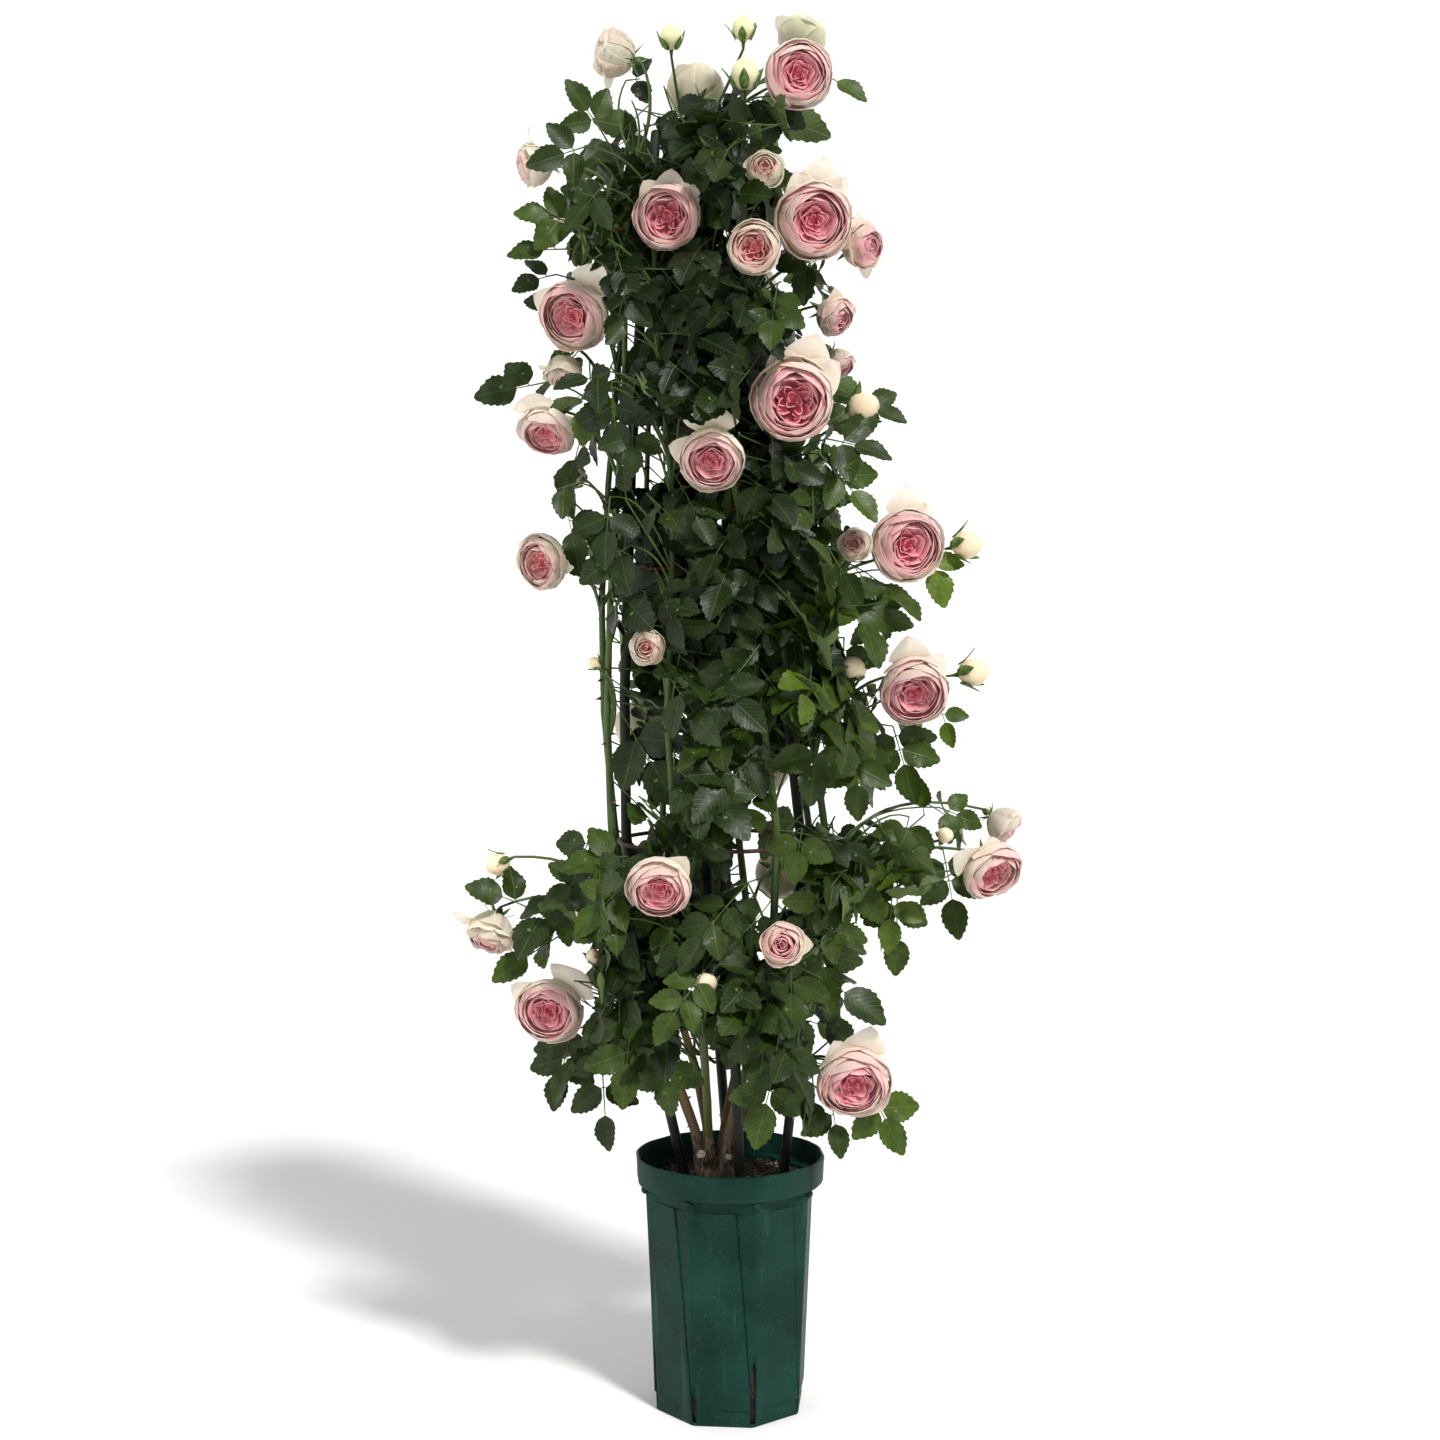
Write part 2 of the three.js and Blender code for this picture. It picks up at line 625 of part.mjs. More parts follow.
// An outermost petal that has bent back from the cup. Its foot is sunk into the base of the bloom.
function petalGeometry(bloom, place) {
  const local = frameOf(facing(bloom.turn, bloom.rise))
  const center = v3(...bloom.at)
  const radius = bloom.size / 2
  const thick = 1.4
  const at = (reach, side, forward) => {
    const a = side / max(reach, 0.5) - rad(place)
    return center.clone().add(local(a, radius * reach, radius * forward))
  }
  const edge = [
    at(0.3, -0.12, -0.42),
    at(0.8, -0.36, -0.3),
    at(1.15, -0.4, -0.1),
    at(1.38, -0.2, -0.16),
    at(1.38, 0.2, -0.16),
    at(1.15, 0.4, -0.1),
    at(0.8, 0.36, -0.3),
    at(0.3, 0.12, -0.42),
  ]
  const middle = at(0.95, 0, -0.3)
  const front = facing(bloom.turn, bloom.rise)
  const points = [
    ...edge,
    middle.clone().addScaledVector(front, thick / 2),
    middle.clone().addScaledVector(front, -thick / 2),
    edge[0].clone().lerp(edge[7], 0.5).addScaledVector(front, thick / 2),
    edge[0].clone().lerp(edge[7], 0.5).addScaledVector(front, -thick / 2),
  ]
  const triangles = []
  for (let k = 0; k < 7; k++) {
    triangles.push([8, k, k + 1], [9, k + 1, k])
  }
  triangles.push([8, 10, 0], [8, 7, 10], [9, 0, 11], [9, 11, 7], [0, 10, 11], [7, 11, 10])
  return surface(points, triangles)
}

// A side shoot with what it ends in: the swollen hip behind a bloom, or a closed egg-shaped bud.
function twigSolid(shoot, carried) {
  const front = facing(carried.turn, carried.rise)
  const center = v3(...carried.at)
  const last = shoot.points.length - 1
  const points = shoot.points.map((point) => point.clone())
  const radii = points.map((_, i) => mix(2.8, 2.2, i / last))
  const step = (forward, radius) => {
    points.push(center.clone().addScaledVector(front, forward))
    radii.push(radius)
  }
  if (carried.open === undefined) {
    const half = carried.size / 2
    step(-0.55 * half, 0.78 * half)
    step(0.2 * half, 0.9 * half)
    step(1.25 * half, 0.16 * half)
    return toSolid(tube(points, radii, 5))
  }
  step(-baseDepth(carried) - gap, hipRadius)
  return toSolid(tube(points, radii, 3))
}

// ---- Putting the plant together -----------------------------------------------------------------

const lines = canes.map((_, index) => canePoints(index))

function caneTube(index) {
  const points = lines[index]
  const radii = points.map((_, i) => mix(cane.base, cane.tip, i / (points.length - 1)))
  return toSolid(tube(points, radii, cane.sides))
}

// A leaf on a stem: to one side of it, rising a little at its foot and hanging at its tip.
function leafPlace(root, stemAlong, outward, side, random, near = false) {
  const level = stemAlong.clone().cross(up)
  if (level.length() < 0.2) level.set(-outward.y, outward.x, 0)
  const along = level.normalize().multiplyScalar(side * (0.45 + 0.55 * random()))
  along.addScaledVector(outward, 0.25 + 0.45 * random())
  along.addScaledVector(stemAlong, 0.15)
  along.z -= 0.1 + 0.75 * random()
  along.normalize()
  const lookTurn = 130 * (random() - 0.5)
  const normal = outward.clone().applyAxisAngle(up, rad(lookTurn))
  normal.addScaledVector(up, 0.35 + 0.5 * random())
  normal.addScaledVector(along, -normal.dot(along)).normalize()
  const length = leaf.length + leaf.lengthSpread * (random() - 0.5)
  const plan = near ? leaf.three : leaf.five
  return { root, along, normal, length, plan, droop: 0.1 + 0.2 * random() }
}

function betweenSteps(places, values, at) {
  let i = 0
  while (i < places.length - 2 && places[i + 1] <= at) i++
  return mix(values[i], values[i + 1], clamp((at - places[i]) / (places[i + 1] - places[i]), 0, 1))
}

// Where a point shows on the upright plane through the middle of the pot.
function seen(point) {
  const nearer = viewer.distance / (viewer.distance + point.y)
  return [point.x * nearer, viewer.height + (point.z - viewer.height) * nearer]
}

function inGap(point) {
  const [x, z] = seen(point)
  return outline.gaps.some(([middle, height, wide, tall]) =>
    Math.hypot((x - middle) / wide, (z - height) / tall) < 1)
}

function leavesOutline(point) {
  const [x, z] = seen(point)
  const left = betweenSteps(outline.heights, outline.left, z)
  const right = betweenSteps(outline.heights, outline.right, z)
  const low = outline.lowest[outline.places.filter((place) => x > place).length]
  return x < left || x > right || z < low || point.y < outline.front || point.y > outline.back
}

// Whether a leaf would reach into the room inside a ring.
function reachesIn(root, tip) {
  const points = [0.2, 0.4, 0.6, 0.8, 1].map((t) => root.clone().lerp(tip, t).toArray())
  return ringRooms.some(([low, high]) =>
    points.some((point) =>
      point.every((value, k) => value > low[k] - roomMargin[k] && value < high[k] + roomMargin[k])))
}

function roomSolid([low, high]) {
  const size = high.map((value, k) => value - low[k])
  const middle = high.map((value, k) => (value + low[k]) / 2)
  return toSolid(new THREE.BoxGeometry(...size).translate(...middle))
}

// The first of a few leaves that keeps within the outline, out of its gaps and out of the rings.
function leafWithin(root, stemAlong, outward, side, random, near) {
  for (let i = 0; i < 8; i++) {
    const way = outward.clone().multiplyScalar(i < 4 ? 1 : -1)
    const place = leafPlace(root, stemAlong, way, i % 2 === 0 ? side : -side, random, near)
    const tip = root.clone().addScaledVector(place.along, 1.05 * place.length)
    tip.addScaledVector(place.normal, -place.droop * place.length)
    const middle = root.clone().lerp(tip, 0.55)
    const kept = !leavesOutline(tip) && !inGap(tip) && !inGap(middle)
    if (kept && !reachesIn(root, tip)) return [place]
  }
  return []
}

// Every leaf that the plant could carry, in the order in which they are tried.
function leafPlaces(shoots) {
  const places = canes.map(() => [])
  shoots.forEach((shoot, n) => {
    const random = draws(9001 + n * 131)
    const count = max(1, round(shoot.length / leaf.shootStep))
    for (let i = 0; i < count; i++) {
      const t = (i + 0.75) / (count + 0.35)
      const { point, along } = alongLine(shoot.points, t)
      const outward = v3(point.x - middleX(point.z), point.y, 0).normalize()
      const side = (i + n) % 2 === 0 ? 1 : -1
      places[shoot.index].push(...leafWithin(point, along, outward, side, random, i === count - 1))
    }
  })
  canes.forEach(({ top }, index) => {
    const random = draws(501 + index * 77)
    let side = index % 2 === 0 ? 1 : -1
    for (let z = leaf.lowest + 20 * (index % 3); z < top - 10; z += leaf.caneStep) {
      const point = pointAtHeight(lines[index], z)
      const outward = v3(point.x - middleX(z), point.y, 0).normalize()
      places[index].push(...leafWithin(point, up.clone(), outward, side, random))
      side = -side
    }
    const tip = lines[index][lines[index].length - 1]
    const outward = v3(tip.x - middleX(top), tip.y, 0.4).normalize()
    places[index].push(...leafWithin(tip, up.clone(), outward, side, random))
  })
  return places
}

function alongLine(points, t) {
  const place = clamp(t, 0, 0.999) * (points.length - 1)
  const i = floor(place)
  const along = points[i + 1].clone().sub(points[i]).normalize()
  return { point: points[i].clone().lerp(points[i + 1], place - i), along }
}

const lineLength = (points) =>
  points.slice(1).reduce((sum, point, i) => sum + point.distanceTo(points[i]), 0)

function shootTo(carried) {
  const front = facing(carried.turn, carried.rise)
  const end = v3(...carried.at).addScaledVector(front, -baseDepth(carried) - gap - hipLength)
  const away = front.clone().multiplyScalar(-1)
  const { index, points } = shootPoints(lines, end, away)
  return { index, points, length: lineLength(points) }
}

const touches = (a, b) => {
  const one = a.boundingBox()
  const two = b.boundingBox()
  const apart = [0, 1, 2].some((k) => one.min[k] > two.max[k] || two.min[k] > one.max[k])
  return !apart && a.intersect(b).volume() > 1e-3
}

function bent(place, turn, tilt) {
  const along = place.along.clone().applyAxisAngle(up, rad(turn))
  const across = up.clone().cross(along).normalize()
  along.applyAxisAngle(across, rad(tilt))
  const normal = place.normal.clone().applyAxisAngle(up, rad(turn))
  normal.addScaledVector(along, -normal.dot(along)).normalize()
  return { ...place, along, normal }
}

// A leaf that would cross another node is bent clear by turning it sideways or tilting it, in degrees.
const bends = [[0, 0], [18, 0], [-18, 0], [0, 16], [0, -16], [34, 10], [-34, 10], [30, -14], [-30, -14]]
const crossing = 30 // mm3 that a leaf may share with its own stem before another bend is tried

// The leaf as it fits beside `others`, or null where it can't.
function fittedLeaf(wanted, own, others) {
  const clear = bends
    .map(([turn, tilt]) => bent(wanted, turn, tilt))
    .filter((place) => !others.some((other) => touches(toSolid(leafGeometry(place, gap)), other)))
    .map((place) => toSolid(leafGeometry(place)))
  const tidy = clear.find((solid) => solid.intersect(own).volume() < crossing)
  return tidy ?? clear[0] ?? null
}

// Every cane with its side shoots, cut clear of the crown, and then its leaves, one at a time.
function leafyCanes(bloomSolids, fixed) {
  const stems = canes.map((_, index) => caneTube(index))
  const carried = [...blooms, ...buds]
  const shoots = carried.map(shootTo)
  shoots.forEach((shoot, n) => {
    stems[shoot.index] = stems[shoot.index].add(twigSolid(shoot, carried[n]))
  })
  const crownSpace = crownSolid(gap)
  const leafy = stems.map((stem) => largest(stem.subtract(crownSpace)))
  const places = leafPlaces(shoots)
  const most = max(...places.map((list) => list.length))
  for (let i = 0; i < most; i++) {
    places.forEach((list, index) => {
      if (i >= list.length) return
      const others = [...leafy.filter((_, other) => other !== index), ...bloomSolids, ...fixed]
      const fitted = fittedLeaf(list[i], leafy[index], others)
      if (fitted) leafy[index] = leafy[index].add(fitted)
    })
  }
  const crumb = 0.2
  return leafy.map((solid) => solid.simplify(crumb))
}

function materialOf(color, roughness) {
  return new THREE.MeshStandardMaterial({ color, roughness, metalness: 0 })
}

const group = new THREE.Group()

function addNode(name, geometry, color, roughness) {
  const mesh = new THREE.Mesh(geometry, materialOf(color, roughness))
  mesh.name = name
  group.add(mesh)
}

const posts = Array.from({ length: trellis.posts }, (_, k) => postTube(k, 0))
const rings = trellis.rings.map(ringGeometry)
const crownBody = crownSolid(0)
const holes = [...posts.map((_, k) => toSolid(postTube(k, gap))), crownSolid(gap)]
const bloomSolids = blooms.map((bloom) => bloomSolid(bloom))
const fixed = [...posts.map(toSolid), ...rings.map(toSolid), crownBody]

addNode('pot', toGeometry(buildPot()), '#1e4a3e', 0.5)
addNode('soil', toGeometry(buildSoil(holes)), '#2d2119', 1)
posts.forEach((post, k) => addNode(`post_${k + 1}`, post, '#262c22', 0.6))
rings.forEach((ring, k) => addNode(`ring_${k + 1}`, ring, '#4a2a22', 0.6))
addNode('crown', toGeometry(crownBody), '#8a7763', 0.9)
leafyCanes(bloomSolids, [...fixed, ...ringRooms.map(roomSolid)]).forEach((solid, k) => {
  addNode(canes[k].name, toGeometry(solid), '#33521f', 0.5)
})
bloomSolids.forEach((solid, k) => {
  const number = String(k + 1).padStart(2, '0')
  addNode(`bloom_${number}`, toGeometry(solid), '#eda3ab', 0.6)
})

export default group
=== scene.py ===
# A climbing rose in its pot, trained round a slim obelisk trellis.
# Metres in the finished meshes; the layout of the plant is worked out in millimetres and scaled once.
# The front of the plant faces -Y, and angles round it are degrees from the front towards +X.
import math

import bmesh
import bpy
from mathutils import Matrix, Quaternion, Vector, noise


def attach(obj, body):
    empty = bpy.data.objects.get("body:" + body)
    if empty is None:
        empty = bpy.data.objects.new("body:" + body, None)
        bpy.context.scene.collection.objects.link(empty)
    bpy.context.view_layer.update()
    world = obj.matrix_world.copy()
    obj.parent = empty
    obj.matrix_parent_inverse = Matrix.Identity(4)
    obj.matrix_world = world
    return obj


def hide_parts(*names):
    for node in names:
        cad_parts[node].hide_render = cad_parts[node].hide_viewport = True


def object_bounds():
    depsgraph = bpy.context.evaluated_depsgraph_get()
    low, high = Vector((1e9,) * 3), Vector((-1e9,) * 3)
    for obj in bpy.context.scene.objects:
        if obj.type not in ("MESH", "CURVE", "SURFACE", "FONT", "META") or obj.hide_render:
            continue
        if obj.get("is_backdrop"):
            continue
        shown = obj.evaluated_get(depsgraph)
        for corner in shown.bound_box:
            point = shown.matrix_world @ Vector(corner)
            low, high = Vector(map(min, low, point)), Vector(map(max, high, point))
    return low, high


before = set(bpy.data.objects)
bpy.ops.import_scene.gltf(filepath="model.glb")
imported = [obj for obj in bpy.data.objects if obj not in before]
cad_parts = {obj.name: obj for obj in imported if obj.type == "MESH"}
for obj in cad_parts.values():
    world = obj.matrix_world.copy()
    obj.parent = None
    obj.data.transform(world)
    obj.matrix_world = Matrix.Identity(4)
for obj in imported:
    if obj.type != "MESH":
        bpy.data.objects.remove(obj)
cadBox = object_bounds()
up = Vector((0, 0, 1))
mm = 0.001


# small helpers

def mix(a, b, t):
    return a + (b - a) * t


def clamp(t, low, high):
    return min(max(t, low), high)


def smooth(t):
    return t * t * (3 - 2 * t)


def draws(seed):  # repeatable draws between 0 and 1
    state = seed

    def draw():
        nonlocal state
        state = (state * 1664525 + 1013904223) % 4294967296
        return state / 4294967296

    return draw


def facing(turn, rise):  # the way something looks, from its turn round the plant and its rise
    level = math.cos(math.radians(rise))
    t = math.radians(turn)
    return Vector((math.sin(t) * level, -math.cos(t) * level, math.sin(math.radians(rise))))


def alongTable(places, values, at):  # straight steps through a short list of sizes
    i = 0
    while i < len(places) - 2 and places[i + 1] <= at:
        i += 1
    t = clamp((at - places[i]) / (places[i + 1] - places[i]), 0, 1)
    return mix(values[i], values[i + 1], t)


def hexColor(code):  # sRGB hex to linear
    parts = [int(code[i:i + 2], 16) / 255 for i in (1, 3, 5)]
    return tuple(c / 12.92 if c <= 0.04045 else ((c + 0.055) / 1.055) ** 2.4 for c in parts) + (1,)


def addNode(tree, kind, inputs=None, **settings):
    node = tree.nodes.new(kind)
    for name, value in settings.items():
        setattr(node, name, value)
    for key, value in (inputs or {}).items():
        socket = node.inputs[key]
        if isinstance(value, bpy.types.NodeSocket):
            tree.links.new(value, socket)
        else:
            socket.default_value = value
    return node


def makeMesh(name, points, faces, edges=()):
    mesh = bpy.data.meshes.new(name)
    mesh.from_pydata([tuple(p) for p in points], list(edges), list(faces))
    mesh.update()
    if faces:
        mesh.shade_smooth()
    return mesh


def makeObject(name, data):
    thing = bpy.data.objects.new(name, data)
    bpy.context.scene.collection.objects.link(thing)
    return thing


def fromShape(name, shape):  # a bmesh kept as an object
    mesh = bpy.data.meshes.new(name)
    shape.to_mesh(mesh)
    shape.free()
    return makeObject(name, mesh)


def keepModified(thing):  # what its modifiers make becomes its plain mesh
    depsgraph = bpy.context.evaluated_depsgraph_get()
    evaluated = thing.evaluated_get(depsgraph)
    mesh = bpy.data.meshes.new_from_object(evaluated, preserve_all_data_layers=True, depsgraph=depsgraph)
    thing.modifiers.clear()
    thing.data = mesh
    return thing


def removeAll(things):
    for thing in things:
        bpy.data.objects.remove(thing)


def setValues(mesh, name, values, kind="FLOAT", domain="POINT"):
    layer = mesh.attributes.new(name, kind, domain)
    if kind == "FLOAT_VECTOR":
        layer.data.foreach_set("vector", [c for v in values for c in v])
    else:
        layer.data.foreach_set("value", list(values))


def setAll(mesh, **values):  # the same value at all the points
    for name, value in values.items():
        setValues(mesh, name, [value] * len(mesh.vertices))


def triangles(mesh):
    return sum(len(face.vertices) - 2 for face in mesh.polygons)


def finishPiece(piece, slotName, *nodes):
    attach(piece, "root")
    if nodes:
        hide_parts(*nodes)
    return piece


# Geometry Nodes helpers

def newTree(name, inputs):
    tree = bpy.data.node_groups.new(name, "GeometryNodeTree")
    tree.interface.new_socket("Geometry", in_out="INPUT", socket_type="NodeSocketGeometry")
    for label, kind, value in inputs:
        socket = tree.interface.new_socket(label, in_out="INPUT", socket_type=kind)
        socket.default_value = value
    tree.interface.new_socket("Geometry", in_out="OUTPUT", socket_type="NodeSocketGeometry")
    return tree, tree.nodes.new("NodeGroupInput").outputs


def endTree(tree, parts, coats):  # coats: material and selection socket, the later ones over the earlier
    joined = addNode(tree, "GeometryNodeJoinGeometry")
    for part in reversed(parts):
        tree.links.new(part, joined.inputs[0])
    shape = addNode(tree, "GeometryNodeRealizeInstances", {0: joined.outputs[0]}).outputs[0]
    for material, selection in coats:
        inputs = {"Geometry": shape, "Material": material}
        if selection is not None:
            inputs["Selection"] = selection
        shape = addNode(tree, "GeometryNodeSetMaterial", inputs).outputs[0]
    output = tree.nodes.new("NodeGroupOutput")
    tree.links.new(shape, output.inputs[0])


def grow(thing, tree, values):  # runs the tree on the object and keeps its result as a plain mesh
    modifier = thing.modifiers.new(tree.name, "NODES")
    modifier.node_group = tree
    for item in tree.interface.items_tree:
        if item.item_type == "SOCKET" and item.in_out == "INPUT" and item.name in values:
            modifier[item.identifier] = values[item.name]
    return keepModified(thing)


def named(tree, name, kind="FLOAT"):
    return addNode(tree, "GeometryNodeInputNamedAttribute", {"Name": name}, data_type=kind).outputs[0]


def isKind(tree, kind, value):
    return addNode(tree, "FunctionNodeCompare", {"A": named(tree, kind), "B": float(value), "Epsilon": 0.1},
                   data_type="FLOAT", operation="EQUAL").outputs[0]


def compare(tree, a, operation, b, kind="FLOAT"):
    return addNode(tree, "FunctionNodeCompare", {"A": a, "B": b}, data_type=kind,
                   operation=operation).outputs[0]


def vector(tree, x=0.0, y=0.0, z=0.0):
    return addNode(tree, "ShaderNodeCombineXYZ", {0: x, 1: y, 2: z}).outputs[0]


def randomAt(tree, low, high, seed):
    return addNode(tree, "FunctionNodeRandomValue", {2: low, 3: high, "Seed": seed}).outputs[1]


def copies(tree, points, template, **inputs):  # the template's shape on each of the points
    shape = addNode(tree, "GeometryNodeObjectInfo", {0: template}).outputs["Geometry"]
    sockets = {"Points": points, "Instance": shape, **inputs}
    return addNode(tree, "GeometryNodeInstanceOnPoints", sockets).outputs[0]


def tinted(tree, placed, seed):  # each copy gets a tone of its own
    sockets = {"Geometry": placed, "Name": "tint", "Value": randomAt(tree, 0.0, 1.0, seed)}
    return addNode(tree, "GeometryNodeStoreNamedAttribute", sockets, data_type="FLOAT",
                   domain="INSTANCE").outputs[0]


# materials

def newMaterial(name, roughness, **sockets):
    material = bpy.data.materials.new(name)
    material.use_nodes = True
    shader = material.node_tree.nodes["Principled BSDF"]
    shader.inputs["Roughness"].default_value = roughness
    for label, value in sockets.items():
        shader.inputs[label.replace("_", " ")].default_value = value
    return material, material.node_tree, shader


def ramp(tree, value, stops):
    node = addNode(tree, "ShaderNodeValToRGB", {"Fac": value})
    elements = node.color_ramp.elements
    while len(elements) < len(stops):
        elements.new(0.5)
    for element, (place, color) in zip(elements, stops):
        element.position = place
        element.color = hexColor(color)
    return node.outputs["Color"]


def blend(tree, factor, first, second, how="MIX"):
    node = addNode(tree, "ShaderNodeMix", {0: factor}, data_type="RGBA", blend_type=how)
    for index, color in ((6, first), (7, second)):
        if isinstance(color, str):
            node.inputs[index].default_value = hexColor(color)
        else:
            tree.links.new(color, node.inputs[index])
    return node.outputs[2]


def scaled(tree, value, fromLow, fromHigh, toLow, toHigh):
    return addNode(tree, "ShaderNodeMapRange", {
        "Value": value, "From Min": fromLow, "From Max": fromHigh, "To Min": toLow, "To Max": toHigh,
    }).outputs[0]


def maths(tree, operation, a, b=0.0):
    return addNode(tree, "ShaderNodeMath", {0: a, 1: b}, operation=operation).outputs[0]


def attribute(tree, name):
    return addNode(tree, "ShaderNodeAttribute", attribute_name=name).outputs["Fac"]


def noiseAt(tree, place, sizeMm, detail=3.0):  # a noise whose blotches are about sizeMm across
    sockets = {"Vector": place, "Scale": 1000 / sizeMm, "Detail": detail}
    return addNode(tree, "ShaderNodeTexNoise", sockets).outputs["Fac"]


def mapped(tree, place, turn=(0, 0, 0), stretch=(1, 1, 1)):
    sockets = {"Vector": place, "Rotation": turn, "Scale": stretch}
    return addNode(tree, "ShaderNodeMapping", sockets).outputs[0]


def objectPlace(tree, stretch=(1, 1, 1)):
    return mapped(tree, addNode(tree, "ShaderNodeTexCoord").outputs["Object"], stretch=stretch)


def bladePlace(tree):  # along a leaflet or petal and across it
    return addNode(tree, "ShaderNodeUVMap", uv_map="blade").outputs[0]


def tinge(tree, color, value, low, high, most, tone, how="MIX"):  # the tone comes in from low to high
    return blend(tree, scaled(tree, value, low, high, 0.0, most), color, tone, how)


def paint(tree, shader, color, rough=None):
    tree.links.new(color, shader.inputs["Base Color"])
    if rough is not None:
        tree.links.new(rough, shader.inputs["Roughness"])


def bump(tree, shader, height, depthMm, strength=1.0):
    node = addNode(tree, "ShaderNodeBump", {"Height": height, "Distance": depthMm * mm, "Strength": strength})
    tree.links.new(node.outputs[0], shader.inputs["Normal"])


def blotched(name, roughness, sizeMm, stops):  # a plain material of one noise
    material, tree, shader = newMaterial(name, roughness)
    paint(tree, shader, ramp(tree, noiseAt(tree, objectPlace(tree), sizeMm), stops))
    return material


def injectionMouldedPolypropylene():
    # Moulded green PP: an even satin skin, dulled by dust and pale slanting rubs.
    material, tree, shader = newMaterial("injectionMouldedPolypropylene", 0.5, IOR=1.49,
                                         Specular_IOR_Level=0.1)
    place = objectPlace(tree)
    cloud = noiseAt(tree, place, 90)
    color = blend(tree, scaled(tree, cloud, 0.35, 0.7, 0.0, 1.0), "#0c2822", "#163d34")
    slanting = mapped(tree, place, (0, math.radians(35), 0), (1, 1, 0.09))
    color = tinge(tree, color, noiseAt(tree, slanting, 14, 5.0), 0.62, 0.8, 0.3, "#4a7468")
    color = tinge(tree, color, noiseAt(tree, place, 3, 2.0), 0.66, 0.78, 0.2, "#74948a")
    paint(tree, shader, color, scaled(tree, cloud, 0.3, 0.7, 0.4, 0.56))
    bump(tree, shader, noiseAt(tree, place, 1.6), 0.12)
    return material


def moistCompost():
    # Bark and peat compost: near black when moist, broken into crumbs.
    material, tree, shader = newMaterial("moistCompost", 0.95)
    place = objectPlace(tree)
    dampness = noiseAt(tree, place, 6, 6.0)
    paint(tree, shader, ramp(tree, dampness, [(0.35, "#140e0a"), (0.55, "#33241a"), (0.75, "#5a4533")]))
    bump(tree, shader, noiseAt(tree, place, 3, 6.0), 1.5)
    return material


def crumbBark():
    # Loose bark crumbs and pale grit on the compost: matt, each of its own tone.
    material, tree, shader = newMaterial("crumbBark", 0.9)
    stops = [(0.0, "#1d140e"), (0.5, "#4a3626"), (0.86, "#6e5741"), (0.97, "#b9a98c")]
    paint(tree, shader, ramp(tree, attribute(tree, "tint"), stops))
    bump(tree, shader, noiseAt(tree, objectPlace(tree), 1.5), 0.4)
    return material


def coatedStake():
    # Steel stake tube in a dark plastic coat: satin, chalky where the weather has dulled it.
    material, tree, shader = newMaterial("coatedStake", 0.5, IOR=1.5, Specular_IOR_Level=0.25)
    place = objectPlace(tree, (1, 1, 0.25))
    worn = noiseAt(tree, place, 22, 5.0)
    color = ramp(tree, worn, [(0.35, "#0f130d"), (0.58, "#20271b"), (0.8, "#3c4436")])
    paint(tree, shader, color, scaled(tree, worn, 0.3, 0.7, 0.4, 0.62))
    bump(tree, shader, noiseAt(tree, place, 2.5), 0.25)
    return material


def rustyWire():
    # Painted steel wire gone red-brown: dull paint with rust breaking through.
    material, tree, shader = newMaterial("rustyWire", 0.7)
    rust = noiseAt(tree, objectPlace(tree), 5, 5.0)
    paint(tree, shader, ramp(tree, rust, [(0.35, "#2a1814"), (0.55, "#4a2a22"), (0.75, "#7a4328")]))
    bump(tree, shader, rust, 0.3)
    return material


def roseBark():
    # Old rose wood: grey-brown, cracked lengthways, mossy in places, paler on its ridges.
    material, tree, shader = newMaterial("roseBark", 0.88)
    crack = noiseAt(tree, objectPlace(tree, (1, 1, 0.3)), 5, 8.0)
    color = ramp(tree, crack, [(0.32, "#3b2e25"), (0.52, "#7d6a57"), (0.72, "#a8967f")])
    color = tinge(tree, color, noiseAt(tree, objectPlace(tree), 25), 0.55, 0.75, 0.5, "#5d6138")
    paint(tree, shader, color)
    bump(tree, shader, crack, 1.6)
    return material


def cutWood():
    # A pruned end: pale dry pith in a ring of wood.
    return blotched("cutWood", 0.85, 3, [(0.3, "#a6967f"), (0.6, "#d2c6b4")])


def caneSkin():
    # Rose cane: waxy green when young, golden-olive in its second year, grey bark at the foot.
    material, tree, shader = newMaterial("caneSkin", 0.48, IOR=1.45)
    streak = noiseAt(tree, objectPlace(tree, (1, 1, 0.22)), 7, 5.0)
    age = maths(tree, "ADD", attribute(tree, "age"), scaled(tree, streak, 0.3, 0.7, -0.14, 0.14))
    color = ramp(tree, age, [(0.0, "#3f5a24"), (0.25, "#4c5c26"), (0.55, "#7d6230"), (0.75, "#6f5a43"),
                             (1.0, "#8a7763")])
    color = tinge(tree, color, streak, 0.5, 0.75, 0.45, "#3a3a1c")
    paint(tree, shader, color, scaled(tree, age, 0.2, 0.9, 0.42, 0.85))
    bump(tree, shader, streak, 0.5)
    return material


def pricklesHorn():
    # Prickles: horny and red-brown.
    return blotched("pricklesHorn", 0.45, 4, [(0.35, "#5b2b1e"), (0.65, "#8f5a3c")])


